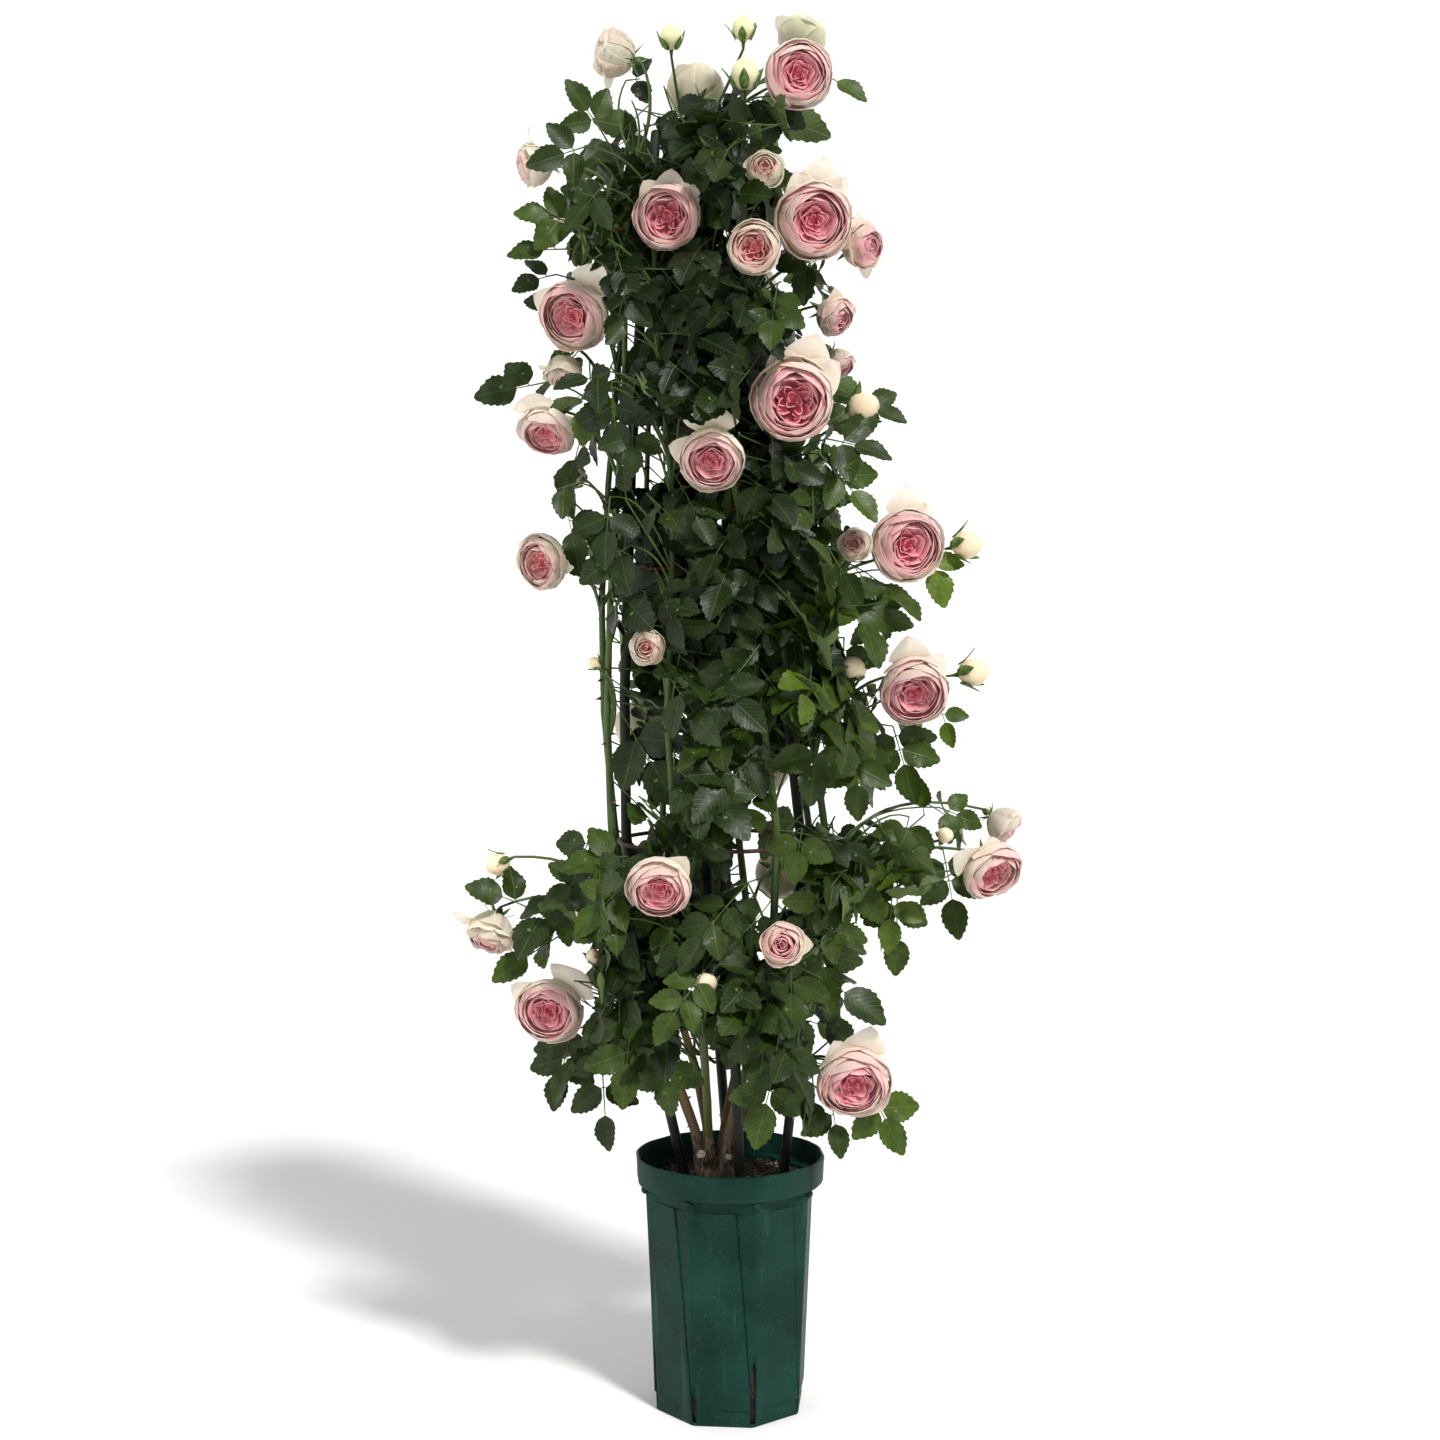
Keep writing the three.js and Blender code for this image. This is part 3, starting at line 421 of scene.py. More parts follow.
def leafBlade():
    # Rose leaflet: glossy deep green above with sunk veins, pale matt grey-green below.
    material, tree, shader = newMaterial("leafBlade", 0.42, IOR=1.45, Specular_IOR_Level=0.28)
    split = addNode(tree, "ShaderNodeSeparateXYZ", {0: bladePlace(tree)}).outputs
    out = maths(tree, "ABSOLUTE", split[1])
    # side veins lean forward from the midrib, about 6 mm apart on a 50 mm leaflet
    phase = maths(tree, "MULTIPLY", maths(tree, "SUBTRACT", split[0], maths(tree, "MULTIPLY", out, 0.4)), 8.0)
    nearest = maths(tree, "ABSOLUTE", maths(tree, "SUBTRACT", maths(tree, "FRACT", phase), 0.5))
    sideVein = scaled(tree, nearest, 0.0, 0.16, 1.0, 0.0)
    midrib = scaled(tree, out, 0.0, 0.06, 1.0, 0.0)
    vein = maths(tree, "MAXIMUM", maths(tree, "MULTIPLY", sideVein, 0.45), midrib)
    # the tint holds a random tone together with each leaf's painted light and shade: darker in the core,
    # lighter further out
    upper = ramp(tree, attribute(tree, "tint"), [(0.0, "#0e1907"), (0.25, "#1a270a"), (0.5, "#29390e"),
                                                 (0.75, "#3d5213"), (1.0, "#5c731c")])
    upper = blend(tree, maths(tree, "MULTIPLY", vein, 0.22), upper, "#6f8c48")
    place = objectPlace(tree)
    upper = tinge(tree, upper, noiseAt(tree, place, 12), 0.4, 0.7, 0.4, "#1b2f12", "MULTIPLY")
    lower = blend(tree, vein, "#5c7040", "#8a9c66")
    below = attribute(tree, "underside")
    rough = maths(tree, "ADD", scaled(tree, below, 0.0, 1.0, 0.4, 0.66),
                  scaled(tree, noiseAt(tree, place, 8), 0.3, 0.7, -0.05, 0.1))
    paint(tree, shader, blend(tree, below, upper, lower), rough)
    bump(tree, shader, maths(tree, "MULTIPLY", vein, -1.0), 0.4, 0.6)
    return material


def petalSkin():
    # Rose petal: soft satin cells, cream outside, blushing to deep pink in the folded heart, with painted
    # shade down in the heart's folds and painted light and shade on the petal rims.
    material, tree, shader = newMaterial(
        "petalSkin", 0.6, IOR=1.4, Specular_IOR_Level=0.3, Subsurface_Weight=0.6, Subsurface_Scale=0.006,
        Subsurface_Radius=(0.9, 0.95, 1.0))
    heart, reach, tint, blush = (attribute(tree, name) for name in ("heart", "reach", "tint", "blush"))
    warmth = maths(tree, "ADD", heart, scaled(tree, tint, 0.0, 1.0, -0.1, 0.1))
    pink = ramp(tree, warmth, [(0.0, "#f8ebd2"), (0.14, "#fad8c8"), (0.28, "#f9b7b2"), (0.55, "#f398a0"),
                               (1.0, "#ef8896")])
    cream = ramp(tree, warmth, [(0.0, "#ece8c8"), (0.12, "#e6e4b6"), (0.3, "#f2e0c0"), (0.6, "#f5c5a8"),
                                (1.0, "#ec9f8e")])
    color = blend(tree, blush, cream, pink)
    # painted shade: the inner petals darken to a deep red-pink towards their feet, down in the folds of the
    # heart
    fold = maths(tree, "MULTIPLY", scaled(tree, reach, 0.25, 0.8, 1.0, 0.0), heart)
    color = blend(tree, maths(tree, "MULTIPLY", fold, 0.34), color, "#d9566a")
    # painted light and shade on the rims: the outer petals have a deeper pink edge, partly their own colour
    # and partly painted shade; the inner ones have a paler edge, a painted highlight
    rim = maths(tree, "MULTIPLY", scaled(tree, reach, 0.84, 1.0, 0.0, 0.6),
                scaled(tree, blush, 0.0, 1.0, 0.4, 1.0))
    edge = blend(tree, scaled(tree, heart, 0.16, 0.4, 0.0, 1.0), "#f2aab2", "#fcdcd8")
    color = blend(tree, rim, color, edge)
    foot = maths(tree, "MULTIPLY", scaled(tree, reach, 0.1, 0.5, 1.0, 0.0),
                 scaled(tree, heart, 0.0, 0.3, 0.5, 0.0))
    color = blend(tree, foot, color, "#ece6bc")
    streaks = mapped(tree, bladePlace(tree), stretch=(1.5, 14, 1))
    lines = noiseAt(tree, streaks, 1000, 2.0)
    paint(tree, shader, tinge(tree, color, lines, 0.5, 0.8, 0.2, "#eeb4b6", "MULTIPLY"))
    bump(tree, shader, lines, 0.4, 0.5)
    return material


def sepalSkin():
    # Sepals and hips: downy mid green, paler where they are stretched.
    return blotched("sepalSkin", 0.6, 6, [(0.35, "#3c5a22"), (0.65, "#6d8c3c")])


materials = {make.__name__: make() for make in (
    injectionMouldedPolypropylene, moistCompost, crumbBark, coatedStake, rustyWire, roseBark, cutWood,
    caneSkin, pricklesHorn, leafBlade, petalSkin, sepalSkin)}
print("materials made:", len(materials))


# camera, light and floor

camera = {"at": (-0.0125, -2.810, 1.053), "down": 3.69, "lens": 56.2}
light = {"key": 3.1, "keySize": 9, "keyFrom": (1.4, -2.2, 2.9), "fill": 26, "fillSize": 2.0,
         "fillAt": (-2.6, -1.6, 1.8), "fillTarget": (0, 0, 0.9), "sky": 0.44}
paper = {"front": -12, "bendFrom": 7, "bend": 3.0, "top": 14, "halfWidth": 30, "steps": 12}


def addCamera():
    lens = bpy.data.cameras.new("camera")
    lens.lens = camera["lens"]
    lens.sensor_width = 36
    view = makeObject("camera", lens)
    view.location = camera["at"]
    view.rotation_euler = (math.radians(90 - camera["down"]), 0, 0)
    bpy.context.scene.camera = view


def addLights():
    sun = bpy.data.lights.new("key", "SUN")
    sun.energy = light["key"]
    sun.angle = math.radians(light["keySize"])
    makeObject("key", sun).rotation_euler = Vector(light["keyFrom"]).to_track_quat("Z", "Y").to_euler()
    lamp = bpy.data.lights.new("fill", "AREA")
    lamp.energy = light["fill"]
    lamp.size = light["fillSize"]
    fill = makeObject("fill", lamp)
    fill.location = light["fillAt"]
    aim = Vector(light["fillTarget"]) - fill.location
    fill.rotation_euler = aim.to_track_quat("-Z", "Y").to_euler()


def addStage():
    world = bpy.data.worlds.new("studio")
    world.use_nodes = True
    sky = world.node_tree.nodes["Background"]
    sky.inputs["Color"].default_value = hexColor("#f7f8fa")
    sky.inputs["Strength"].default_value = light["sky"]
    bpy.context.scene.world = world
    bpy.context.scene.view_settings.view_transform = "Standard"
    # the floor sweeps up into a backdrop, as studio paper does
    bend, steps = paper["bend"], paper["steps"]
    profile = [(paper["front"], 0)]
    for i in range(steps + 1):
        a = math.pi / 2 * i / steps
        profile.append((paper["bendFrom"] + bend * math.sin(a), bend - bend * math.cos(a)))
    profile.append((paper["bendFrom"] + bend, paper["top"]))
    points = [(x, y, z) for y, z in profile for x in (-paper["halfWidth"], paper["halfWidth"])]
    faces = [(2 * i, 2 * i + 1, 2 * i + 3, 2 * i + 2) for i in range(len(profile) - 1)]
    floor = makeObject("floor", makeMesh("floor", points, faces))
    material, _, shader = newMaterial("paleMattPaper", 0.95)
    shader.inputs["Base Color"].default_value = hexColor("#f1f0ee")
    floor.data.materials.append(material)
    floor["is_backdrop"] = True


addCamera()
addLights()
addStage()


# pot

pot = {
    "height": 322, "collar": 33, "rim": 120, "rimFoot": 118.5, "collarWall": 3.5,
    "bodyTop": 111, "bodyBottom": 97, "wall": 3.5, "floor": 4, "firstCorner": 17, "sides": 8,
    "panelStep": 2.0, "groove": -0.5, "panelTop": 272, "panelBottom": 22,
    "panelSwell": [(0.09, 0), (0.3, 0.36), (0.5, 0.68)], "cornerRound": 0.035, "cornerDrawnIn": 0.0088,
    "knob": 6.5, "slitWidth": 7, "slitTip": 0.4, "longSlit": 80, "shortSlit": 39,
}
bodyTopZ = pot["height"] - pot["collar"]


def cornerAngle(k):
    return math.radians(pot["firstCorner"] - 90 + 360 * k / pot["sides"])


def bodyRadius(z):
    return mix(pot["bodyBottom"], pot["bodyTop"], z / bodyTopZ)


def panelEdge(z):  # the slanting right edge of a stepped panel, as a place along the facet
    return mix(0.96, 0.70, clamp((z - pot["panelBottom"]) / (pot["panelTop"] - pot["panelBottom"]), 0, 1))


def facetPlaces(z):  # places along a facet, from corner to corner, and how proud the panel stands there
    edge = panelEdge(z)
    inside = pot["panelBottom"] <= z <= pot["panelTop"]
    step = pot["panelStep"] if inside else 0
    places = [(0.0, 0), (pot["cornerRound"], 0), *pot["panelSwell"], (edge - 0.012, 1),
              (edge, pot["groove"]), (edge + 0.014, pot["groove"]), (edge + 0.02, 0),
              (1 - pot["cornerRound"] / 3, 0)]
    return [(t, step * proud) for t, proud in places]


def octagonRing(z, radius, panels):
    ring = []
    for k in range(pot["sides"]):
        first, second, between = cornerAngle(k), cornerAngle(k + 1), cornerAngle(k + 0.5)
        for t, out in facetPlaces(z if panels else -1):
            r = radius * (1 - pot["cornerDrawnIn"]) if t == 0 else radius  # so that corners read as rounded
            x = r * mix(math.cos(first), math.cos(second), t) + out * math.cos(between)
            y = r * mix(math.sin(first), math.sin(second), t) + out * math.sin(between)
            ring.append(Vector((x, y, z)))
    return ring


def roundRing(z, radius):
    ring = []
    for k in range(pot["sides"]):
        for t, _ in facetPlaces(-1):
            a = mix(cornerAngle(k), cornerAngle(k + 1), t)
            ring.append(Vector((radius * math.cos(a), radius * math.sin(a), z)))
    return ring


def loftFaces(count, rings, closedEnds=True):
    faces = []
    for i in range(rings - 1):
        for k in range(count):
            n = (k + 1) % count
            faces.append((i * count + k, i * count + n, (i + 1) * count + n, (i + 1) * count + k))
    if closedEnds:
        faces.append(tuple(range(count - 1, -1, -1)))
        last = (rings - 1) * count
        faces.append(tuple(range(last, last + count)))
    return faces


def makePot():
    wall = pot["wall"] / math.cos(math.pi / pot["sides"])
    rings = [octagonRing(0, bodyRadius(0) - 1.5, False)]
    under, above = pot["panelBottom"] - 0.1, pot["panelTop"]  # the panels end in a step at both heights
    for z in (1.5, under, pot["panelBottom"], 60, 110, 160, 210, 250, above - 0.1, above, 284):
        rings.append(octagonRing(z, bodyRadius(z), z not in (under, above)))
    rim, foot, top, inner = pot["rim"], pot["rimFoot"], pot["height"], pot["rim"] - pot["collarWall"]
    collar = [(bodyTopZ - 1, foot - 4), (bodyTopZ, foot - 1), (bodyTopZ + 1.5, foot), (top - 8, rim - 0.6),
              (top - 5, rim), (top - 1.2, rim), (top - 0.2, rim - 1), (top, rim - 1.8), (top - 0.5, rim - 3),
              (top - 3, inner), (bodyTopZ + pot["floor"] + 1, inner - 0.5)]
    rings += [roundRing(z, radius) for z, radius in collar]
    for z in [bodyTopZ + pot["floor"], 200, 100, pot["floor"] + 2]:
        rings.append(octagonRing(z, bodyRadius(min(z, bodyTopZ)) - wall, False))
    rings.append(octagonRing(pot["floor"], bodyRadius(0) - wall - 2, False))
    count = len(rings[0])
    points = [p * mm for ring in rings for p in ring]
    mesh = makeMesh("pot_shell", points, loftFaces(count, len(rings)))
    mesh.set_sharp_from_angle(angle=math.radians(32))
    return makeObject("pot_shell", mesh)


def slitCutter():  # all the root slits at the bottom corners, each with a pointed top
    points, faces = [], []
    for k in range(pot["sides"]):
        tall = pot["longSlit"] if k % 2 == 0 else pot["shortSlit"]
        half = pot["slitWidth"] / 2
        tip, low, high = pot["slitTip"], pot["floor"], pot["floor"] + tall
        outline = [(-half, low), (half, low), (half, tall - 6), (tip, high), (-tip, high), (-half, tall - 8)]
        start = len(points)
        turn = Matrix.Rotation(cornerAngle(k), 3, "Z")
        for deep in (75, 130):
            points += [turn @ Vector((deep, y, z)) * mm for y, z in outline]
        n = len(outline)
        faces += [tuple(start + i for i in reversed(range(n))), tuple(start + n + i for i in range(n))]
        faces += [(start + i, start + (i + 1) % n, start + n + (i + 1) % n, start + n + i) for i in range(n)]
    return makeObject("slits", makeMesh("slits", points, faces))


def cutSlits(thing):
    cutter = slitCutter()
    slits = thing.modifiers.new("slits", "BOOLEAN")
    slits.object = cutter
    slits.solver = "EXACT"
    keepModified(thing)
    removeAll([cutter])


def knobTemplate():
    shape = bmesh.new()
    bmesh.ops.create_uvsphere(shape, u_segments=14, v_segments=9, radius=pot["knob"] * mm)
    bmesh.ops.scale(shape, vec=(0.8, 1.15, 0.85), verts=shape.verts)
    knob = fromShape("knob", shape)
    knob.data.shade_smooth()
    return knob


def knobTree(template):
    tree, entry = newTree("knobsUnderTheCollar", [
        ("Count", "NodeSocketInt", 8), ("Radius", "NodeSocketFloat", 0.1),
        ("Height", "NodeSocketFloat", 0.28), ("First angle", "NodeSocketFloat", 0.0)])
    circle = addNode(tree, "GeometryNodeMeshCircle", {"Vertices": entry["Count"], "Radius": entry["Radius"]})
    placed = addNode(tree, "GeometryNodeTransform", {
        "Geometry": circle.outputs[0], "Translation": vector(tree, z=entry["Height"]),
        "Rotation": vector(tree, z=entry["First angle"])}).outputs[0]
    knobs = copies(tree, placed, template)
    endTree(tree, [entry["Geometry"], knobs], [(materials["injectionMouldedPolypropylene"], None)])
    return tree


shell = makePot()
cutSlits(shell)
knobShape = knobTemplate()
knobZ = bodyTopZ - 0.8 * pot["knob"]
grow(shell, knobTree(knobShape), {
    "Count": pot["sides"], "Radius": (bodyRadius(knobZ) + 0.5) * mm, "Height": knobZ * mm,
    "First angle": cornerAngle(0)})
removeAll([knobShape])
finishPiece(shell, "pot", "pot")
print("pot made:", triangles(shell.data), "triangles")


# compost

compost = {"top": 288, "mound": 5, "gap": 0.5, "rings": 16, "around": 56, "roughness": 5, "lump": 0.045,
           "crumbs": 900, "crumbSize": 3.2, "seed": 4}


def makeCompost():
    wall = pot["wall"] / math.cos(math.pi / pot["sides"]) + compost["gap"]
    points, faces = [], []
    count = compost["around"]

    def edgeRadius(z, a):  # the octagon's reach in a direction
        turn = math.radians(360 / pot["sides"])
        nearest = (a - cornerAngle(0.5)) % turn
        nearest = min(nearest, turn - nearest)
        apothem = (bodyRadius(z) - wall) * math.cos(math.pi / pot["sides"])
        return apothem / math.cos(nearest)

    levels = [pot["floor"] + 1, 90, 180, compost["top"]]
    for z in levels:
        for k in range(count):
            a = 2 * math.pi * k / count
            r = edgeRadius(z, a)
            points.append(Vector((r * math.cos(a), r * math.sin(a), z)))
    for i in range(1, compost["rings"]):
        t = 1 - i / compost["rings"]
        for k in range(count):
            a = 2 * math.pi * k / count
            r = edgeRadius(compost["top"], a) * t
            p = Vector((r * math.cos(a), r * math.sin(a), 0))
            lump = noise.fractal(p * compost["lump"], 1.0, 2.0, 4) * compost["roughness"]
            p.z = compost["top"] + compost["mound"] * (1 - t * t) + lump * min(1, i / 2)
            points.append(p)
    rings = len(levels) + compost["rings"] - 1
    mesh = makeMesh("compost", [p * mm for p in points], loftFaces(count, rings))
    return makeObject("compost", mesh)


def crumbTemplate(name, stretch, seed):
    shape = bmesh.new()
    bmesh.ops.create_icosphere(shape, subdivisions=1, radius=0.5)
    random = draws(seed)
    for vertex in shape.verts:
        vertex.co = Vector(c * s * (0.75 + 0.5 * random()) for c, s in zip(vertex.co, stretch))
    return fromShape(name, shape)


def crumbTree(templates):
    tree, entry = newTree("looseCrumbs", [
        ("Count per square metre", "NodeSocketFloat", 20000), ("Crumb size", "NodeSocketFloat", 0.003),
        ("Seed", "NodeSocketInt", 1)])
    normal = addNode(tree, "GeometryNodeInputNormal").outputs[0]
    upward = addNode(tree, "ShaderNodeSeparateXYZ", {0: normal}).outputs[2]
    spread = addNode(tree, "GeometryNodeDistributePointsOnFaces", {
        "Mesh": entry["Geometry"], "Selection": compare(tree, upward, "GREATER_THAN", 0.5),
        "Density": entry["Count per square metre"], "Seed": entry["Seed"]}).outputs[0]
    pick = addNode(tree, "FunctionNodeRandomValue", {"Min": 0, "Max": len(templates) - 1, "Seed": 7},
                   data_type="INT").outputs[2]
    parts = [entry["Geometry"]]
    for k, template in enumerate(templates):
        turn = addNode(tree, "FunctionNodeRandomValue", {
            "Min": (0, 0, 0), "Max": (6.28, 6.28, 6.28), "Seed": 11 + k}, data_type="FLOAT_VECTOR").outputs[0]
        size = maths(tree, "MULTIPLY", randomAt(tree, 0.5, 1.7, 21 + k), entry["Crumb size"])
        chosen = compare(tree, pick, "EQUAL", k, "INT")
        placed = copies(tree, spread, template, Selection=chosen, Rotation=turn, Scale=size)
        parts.append(tinted(tree, placed, 31 + k))
    toned = compare(tree, named(tree, "tint"), "GREATER_THAN", 0.0001)
    endTree(tree, parts, [(materials["moistCompost"], None), (materials["crumbBark"], toned)])
    return tree


soil = makeCompost()
crumbShapes = [crumbTemplate("crumbRound", (1, 1, 0.8), 3), crumbTemplate("crumbLong", (1.8, 0.7, 0.5), 5),
               crumbTemplate("crumbFlat", (1.4, 1.1, 0.35), 8)]
topArea = math.pi * (bodyRadius(compost["top"]) * mm) ** 2
grow(soil, crumbTree(crumbShapes), {
    "Count per square metre": compost["crumbs"] / topArea, "Crumb size": compost["crumbSize"] * mm,
    "Seed": compost["seed"]})
removeAll(crumbShapes)
finishPiece(soil, "soil", "soil")
print("compost made:", triangles(soil.data), "triangles")


# trellis

trellis = {
    "turn": 6.5, "posts": 4, "radius": 6.5, "middle": 6, "lean": -0.06, "ringWire": 2.6, "sides": 16,
    "heights": [60, 288, 500, 730, 905, 1200, 1450, 1600], "spread": [48, 62, 98, 110, 101, 74, 42, 18],
    "cap": 4, "rings": [720, 1060, 1400], "ringPoints": 72, "ringSides": 10, "standoff": 0.55,
}


def middleX(z):
    return trellis["middle"] + trellis["lean"] * max(z - compost["top"], 0)


def spreadAt(z):
    return alongTable(trellis["heights"], trellis["spread"], z)


def aroundTrellis(angle, reach, z):
    a = math.radians(angle)
    return Vector((middleX(z) + reach * math.sin(a), -reach * math.cos(a), z))


def lineMesh(name, lines):  # a mesh of loose lines with a radius at each point; a ring's line closes
    points, edges, radii = [], [], []
    for line, sizes, closed in lines:
        start = len(points)
        points += [p * mm for p in line]
        radii += [size * mm for size in sizes]
        edges += [(start + i, start + i + 1) for i in range(len(line) - 1)]
        if closed:
            edges.append((start + len(line) - 1, start))
    mesh = makeMesh(name, points, [], edges)
    setValues(mesh, "radius", radii)
    return mesh


def sweep(tree, lines, sides, **chosen):  # round tubes along the chosen lines, as thick as their radius says
    thickness = named(tree, "radius")
    curve = addNode(tree, "GeometryNodeMeshToCurve", {"Mesh": lines, **chosen}).outputs[0]
    thick = addNode(tree, "GeometryNodeSetCurveRadius", {"Curve": curve, "Radius": thickness}).outputs[0]
    profile = addNode(tree, "GeometryNodeCurvePrimitiveCircle", {"Resolution": sides, "Radius": 1.0})
    node = addNode(tree, "GeometryNodeCurveToMesh", {
        "Curve": thick, "Profile Curve": profile.outputs[0], "Fill Caps": True})
    if "Scale" in node.inputs:  # newer versions take the thickness here
        tree.links.new(thickness, node.inputs["Scale"])
    return node.outputs[0]


def tubeTree(name, material):
    tree, entry = newTree(name, [("Sides", "NodeSocketInt", 12)])
    tube = sweep(tree, entry["Geometry"], entry["Sides"])
    endTree(tree, [tube], [(material, None)])
    return tree


postTree = tubeTree("stakeTubes", materials["coatedStake"])
for k in range(trellis["posts"]):
    angle = trellis["turn"] + 360 * k / trellis["posts"]
    heights = []
    for low, high in zip(trellis["heights"], trellis["heights"][1:]):
        heights += [low, mix(low, high, 0.5)]
    heights.append(trellis["heights"][-1])
    line = [aroundTrellis(angle, spreadAt(z), z) for z in heights]
    tip = (line[-1] - line[-2]).normalized()
    r = trellis["radius"]
    sizes = [r] * len(line)
    line[-1] -= tip * trellis["cap"]
    line += [line[-1] + tip * 2.5, line[-1] + tip * 3.8]  # a rounded cap
    sizes += [r * 0.8, r * 0.35]
    post = makeObject(f"stake_{k + 1}", lineMesh(f"stake_{k + 1}", [(line, sizes, False)]))
    grow(post, postTree, {"Sides": trellis["sides"]})
    post.data.set_sharp_from_angle(angle=math.radians(50))
    finishPiece(post, "post", f"post_{k + 1}")

wireTree = tubeTree("ringWire", materials["rustyWire"])
for k, z in enumerate(trellis["rings"]):
    reach = spreadAt(z) + trellis["radius"] + trellis["ringWire"] + trellis["standoff"]
    line = [aroundTrellis(360 * i / trellis["ringPoints"], reach, z) for i in range(trellis["ringPoints"])]
    sizes = [trellis["ringWire"]] * len(line)
    ring = makeObject(f"wire_ring_{k + 1}", lineMesh(f"wire_ring_{k + 1}", [(line, sizes, True)]))
    grow(ring, wireTree, {"Sides": trellis["ringSides"]})
    finishPiece(ring, "ring", f"ring_{k + 1}")
print("trellis made")


# crown

crown = {"x": -18, "y": 0, "radius": 27, "top": 312, "root": 245, "limbTop": 370, "voxel": 1.6, "lump": 2.2}
stubs = [((-22, -8, 300), (-36, -40, 331), 6.5), ((-12, -8, 300), (-2, -38, 327), 5)]


def roundedTube(shape, line, radii, sides):
    rings = []
    for i, point in enumerate(line):
        along = (line[min(i + 1, len(line) - 1)] - line[max(i - 1, 0)]).normalized()
        side = along.orthogonal().normalized()
        across = along.cross(side)
        rings.append([shape.verts.new(point + (side * math.cos(a) + across * math.sin(a)) * radii[i])
                      for a in (2 * math.pi * k / sides for k in range(sides))])
    for low, high in zip(rings, rings[1:]):
        for k in range(sides):
            n = (k + 1) % sides
            shape.faces.new((low[k], low[n], high[n], high[k]))
    shape.faces.new(list(reversed(rings[0])))
    shape.faces.new(rings[-1])


def makeCrown(caneLines):
    shape = bmesh.new()
    center = Vector((crown["x"], crown["y"], 0))
    levels = [(crown["root"], 0.45), (275, 0.62), (286, 0.92), (304, 0.98), (crown["top"], 0.72),
              (crown["top"] + 4, 0.3)]
    roundedTube(shape, [center + Vector((0, 0, z)) for z, _ in levels],
                [crown["radius"] * s for _, s in levels], 20)
    for line in caneLines:
        near = [p for p in line if p.z < crown["limbTop"]]
        limb = [mix(8.5, 4.8, i / (len(near) - 1)) for i in range(len(near))]
        roundedTube(shape, near, limb, 12)
    for low, high, radius in stubs:
        roundedTube(shape, [Vector(low), Vector(high)], [radius * 1.1, radius], 14)
    for vertex in shape.verts:
        vertex.co *= mm
    thing = fromShape("crown_wood", shape)
    remesh = thing.modifiers.new("skin", "REMESH")
    remesh.mode = "VOXEL"
    remesh.voxel_size = crown["voxel"] * mm
    mesh = keepModified(thing).data
    for vertex in mesh.vertices:
        p = vertex.co / mm
        lump = noise.fractal(Vector((p.x * 0.09, p.y * 0.09, p.z * 0.05)), 1.0, 2.0, 4) * crown["lump"]
        inward = Vector((p.x - crown["x"], p.y - crown["y"], 0))
        if inward.length > 1:
            vertex.co += inward.normalized() * lump * mm
    mesh.shade_smooth()
    mesh.materials.clear()
    mesh.materials.append(materials["roseBark"])
    mesh.materials.append(materials["cutWood"])
    for face in mesh.polygons:
        for low, high, radius in stubs:
            end = Vector(high) * mm
            along = (Vector(high) - Vector(low)).normalized()
            near = (face.center - end).length < radius * 1.25 * mm
            if near and face.normal.dot(along) > 0.75:
                face.material_index = 1
    return thing


# canes, side shoots, leaves and buds

canes = [
    ("cane_front_right", 30, 1560), ("cane_right", 72, 1500), ("cane_back_right", 118, 1400),
    ("cane_back", 163, 1590), ("cane_back_left", 210, 1450), ("cane_left", 253, 1580),
    ("cane_front_left", 298, 1520), ("cane_front", 343, 1500),
]
cane = {
    "base": 5.6, "tip": 3, "sides": 10, "foot": 304, "footReach": 18, "standoff": 24, "step": 24,
    "wobble": 5, "bow": 7, "wave": 95,
    "bends": [304, 350, 420, 500, 600, 740, 880, 1020, 1160, 1300, 1420, 1520],
    "green": [2, 7],  # young canes, with hardly any bark
    "barkFoot": 330, "barkHeight": (140, 300), "prickly": 0.4,
}
# a side shoot starts below its end, at a cane, and bends up and away from where its bloom looks
shootForm = {"drop": 85, "lowest": 400, "underTop": 20, "bendAt": 0.45, "rise": 0.22, "back": 0.28,
             "step": 18}

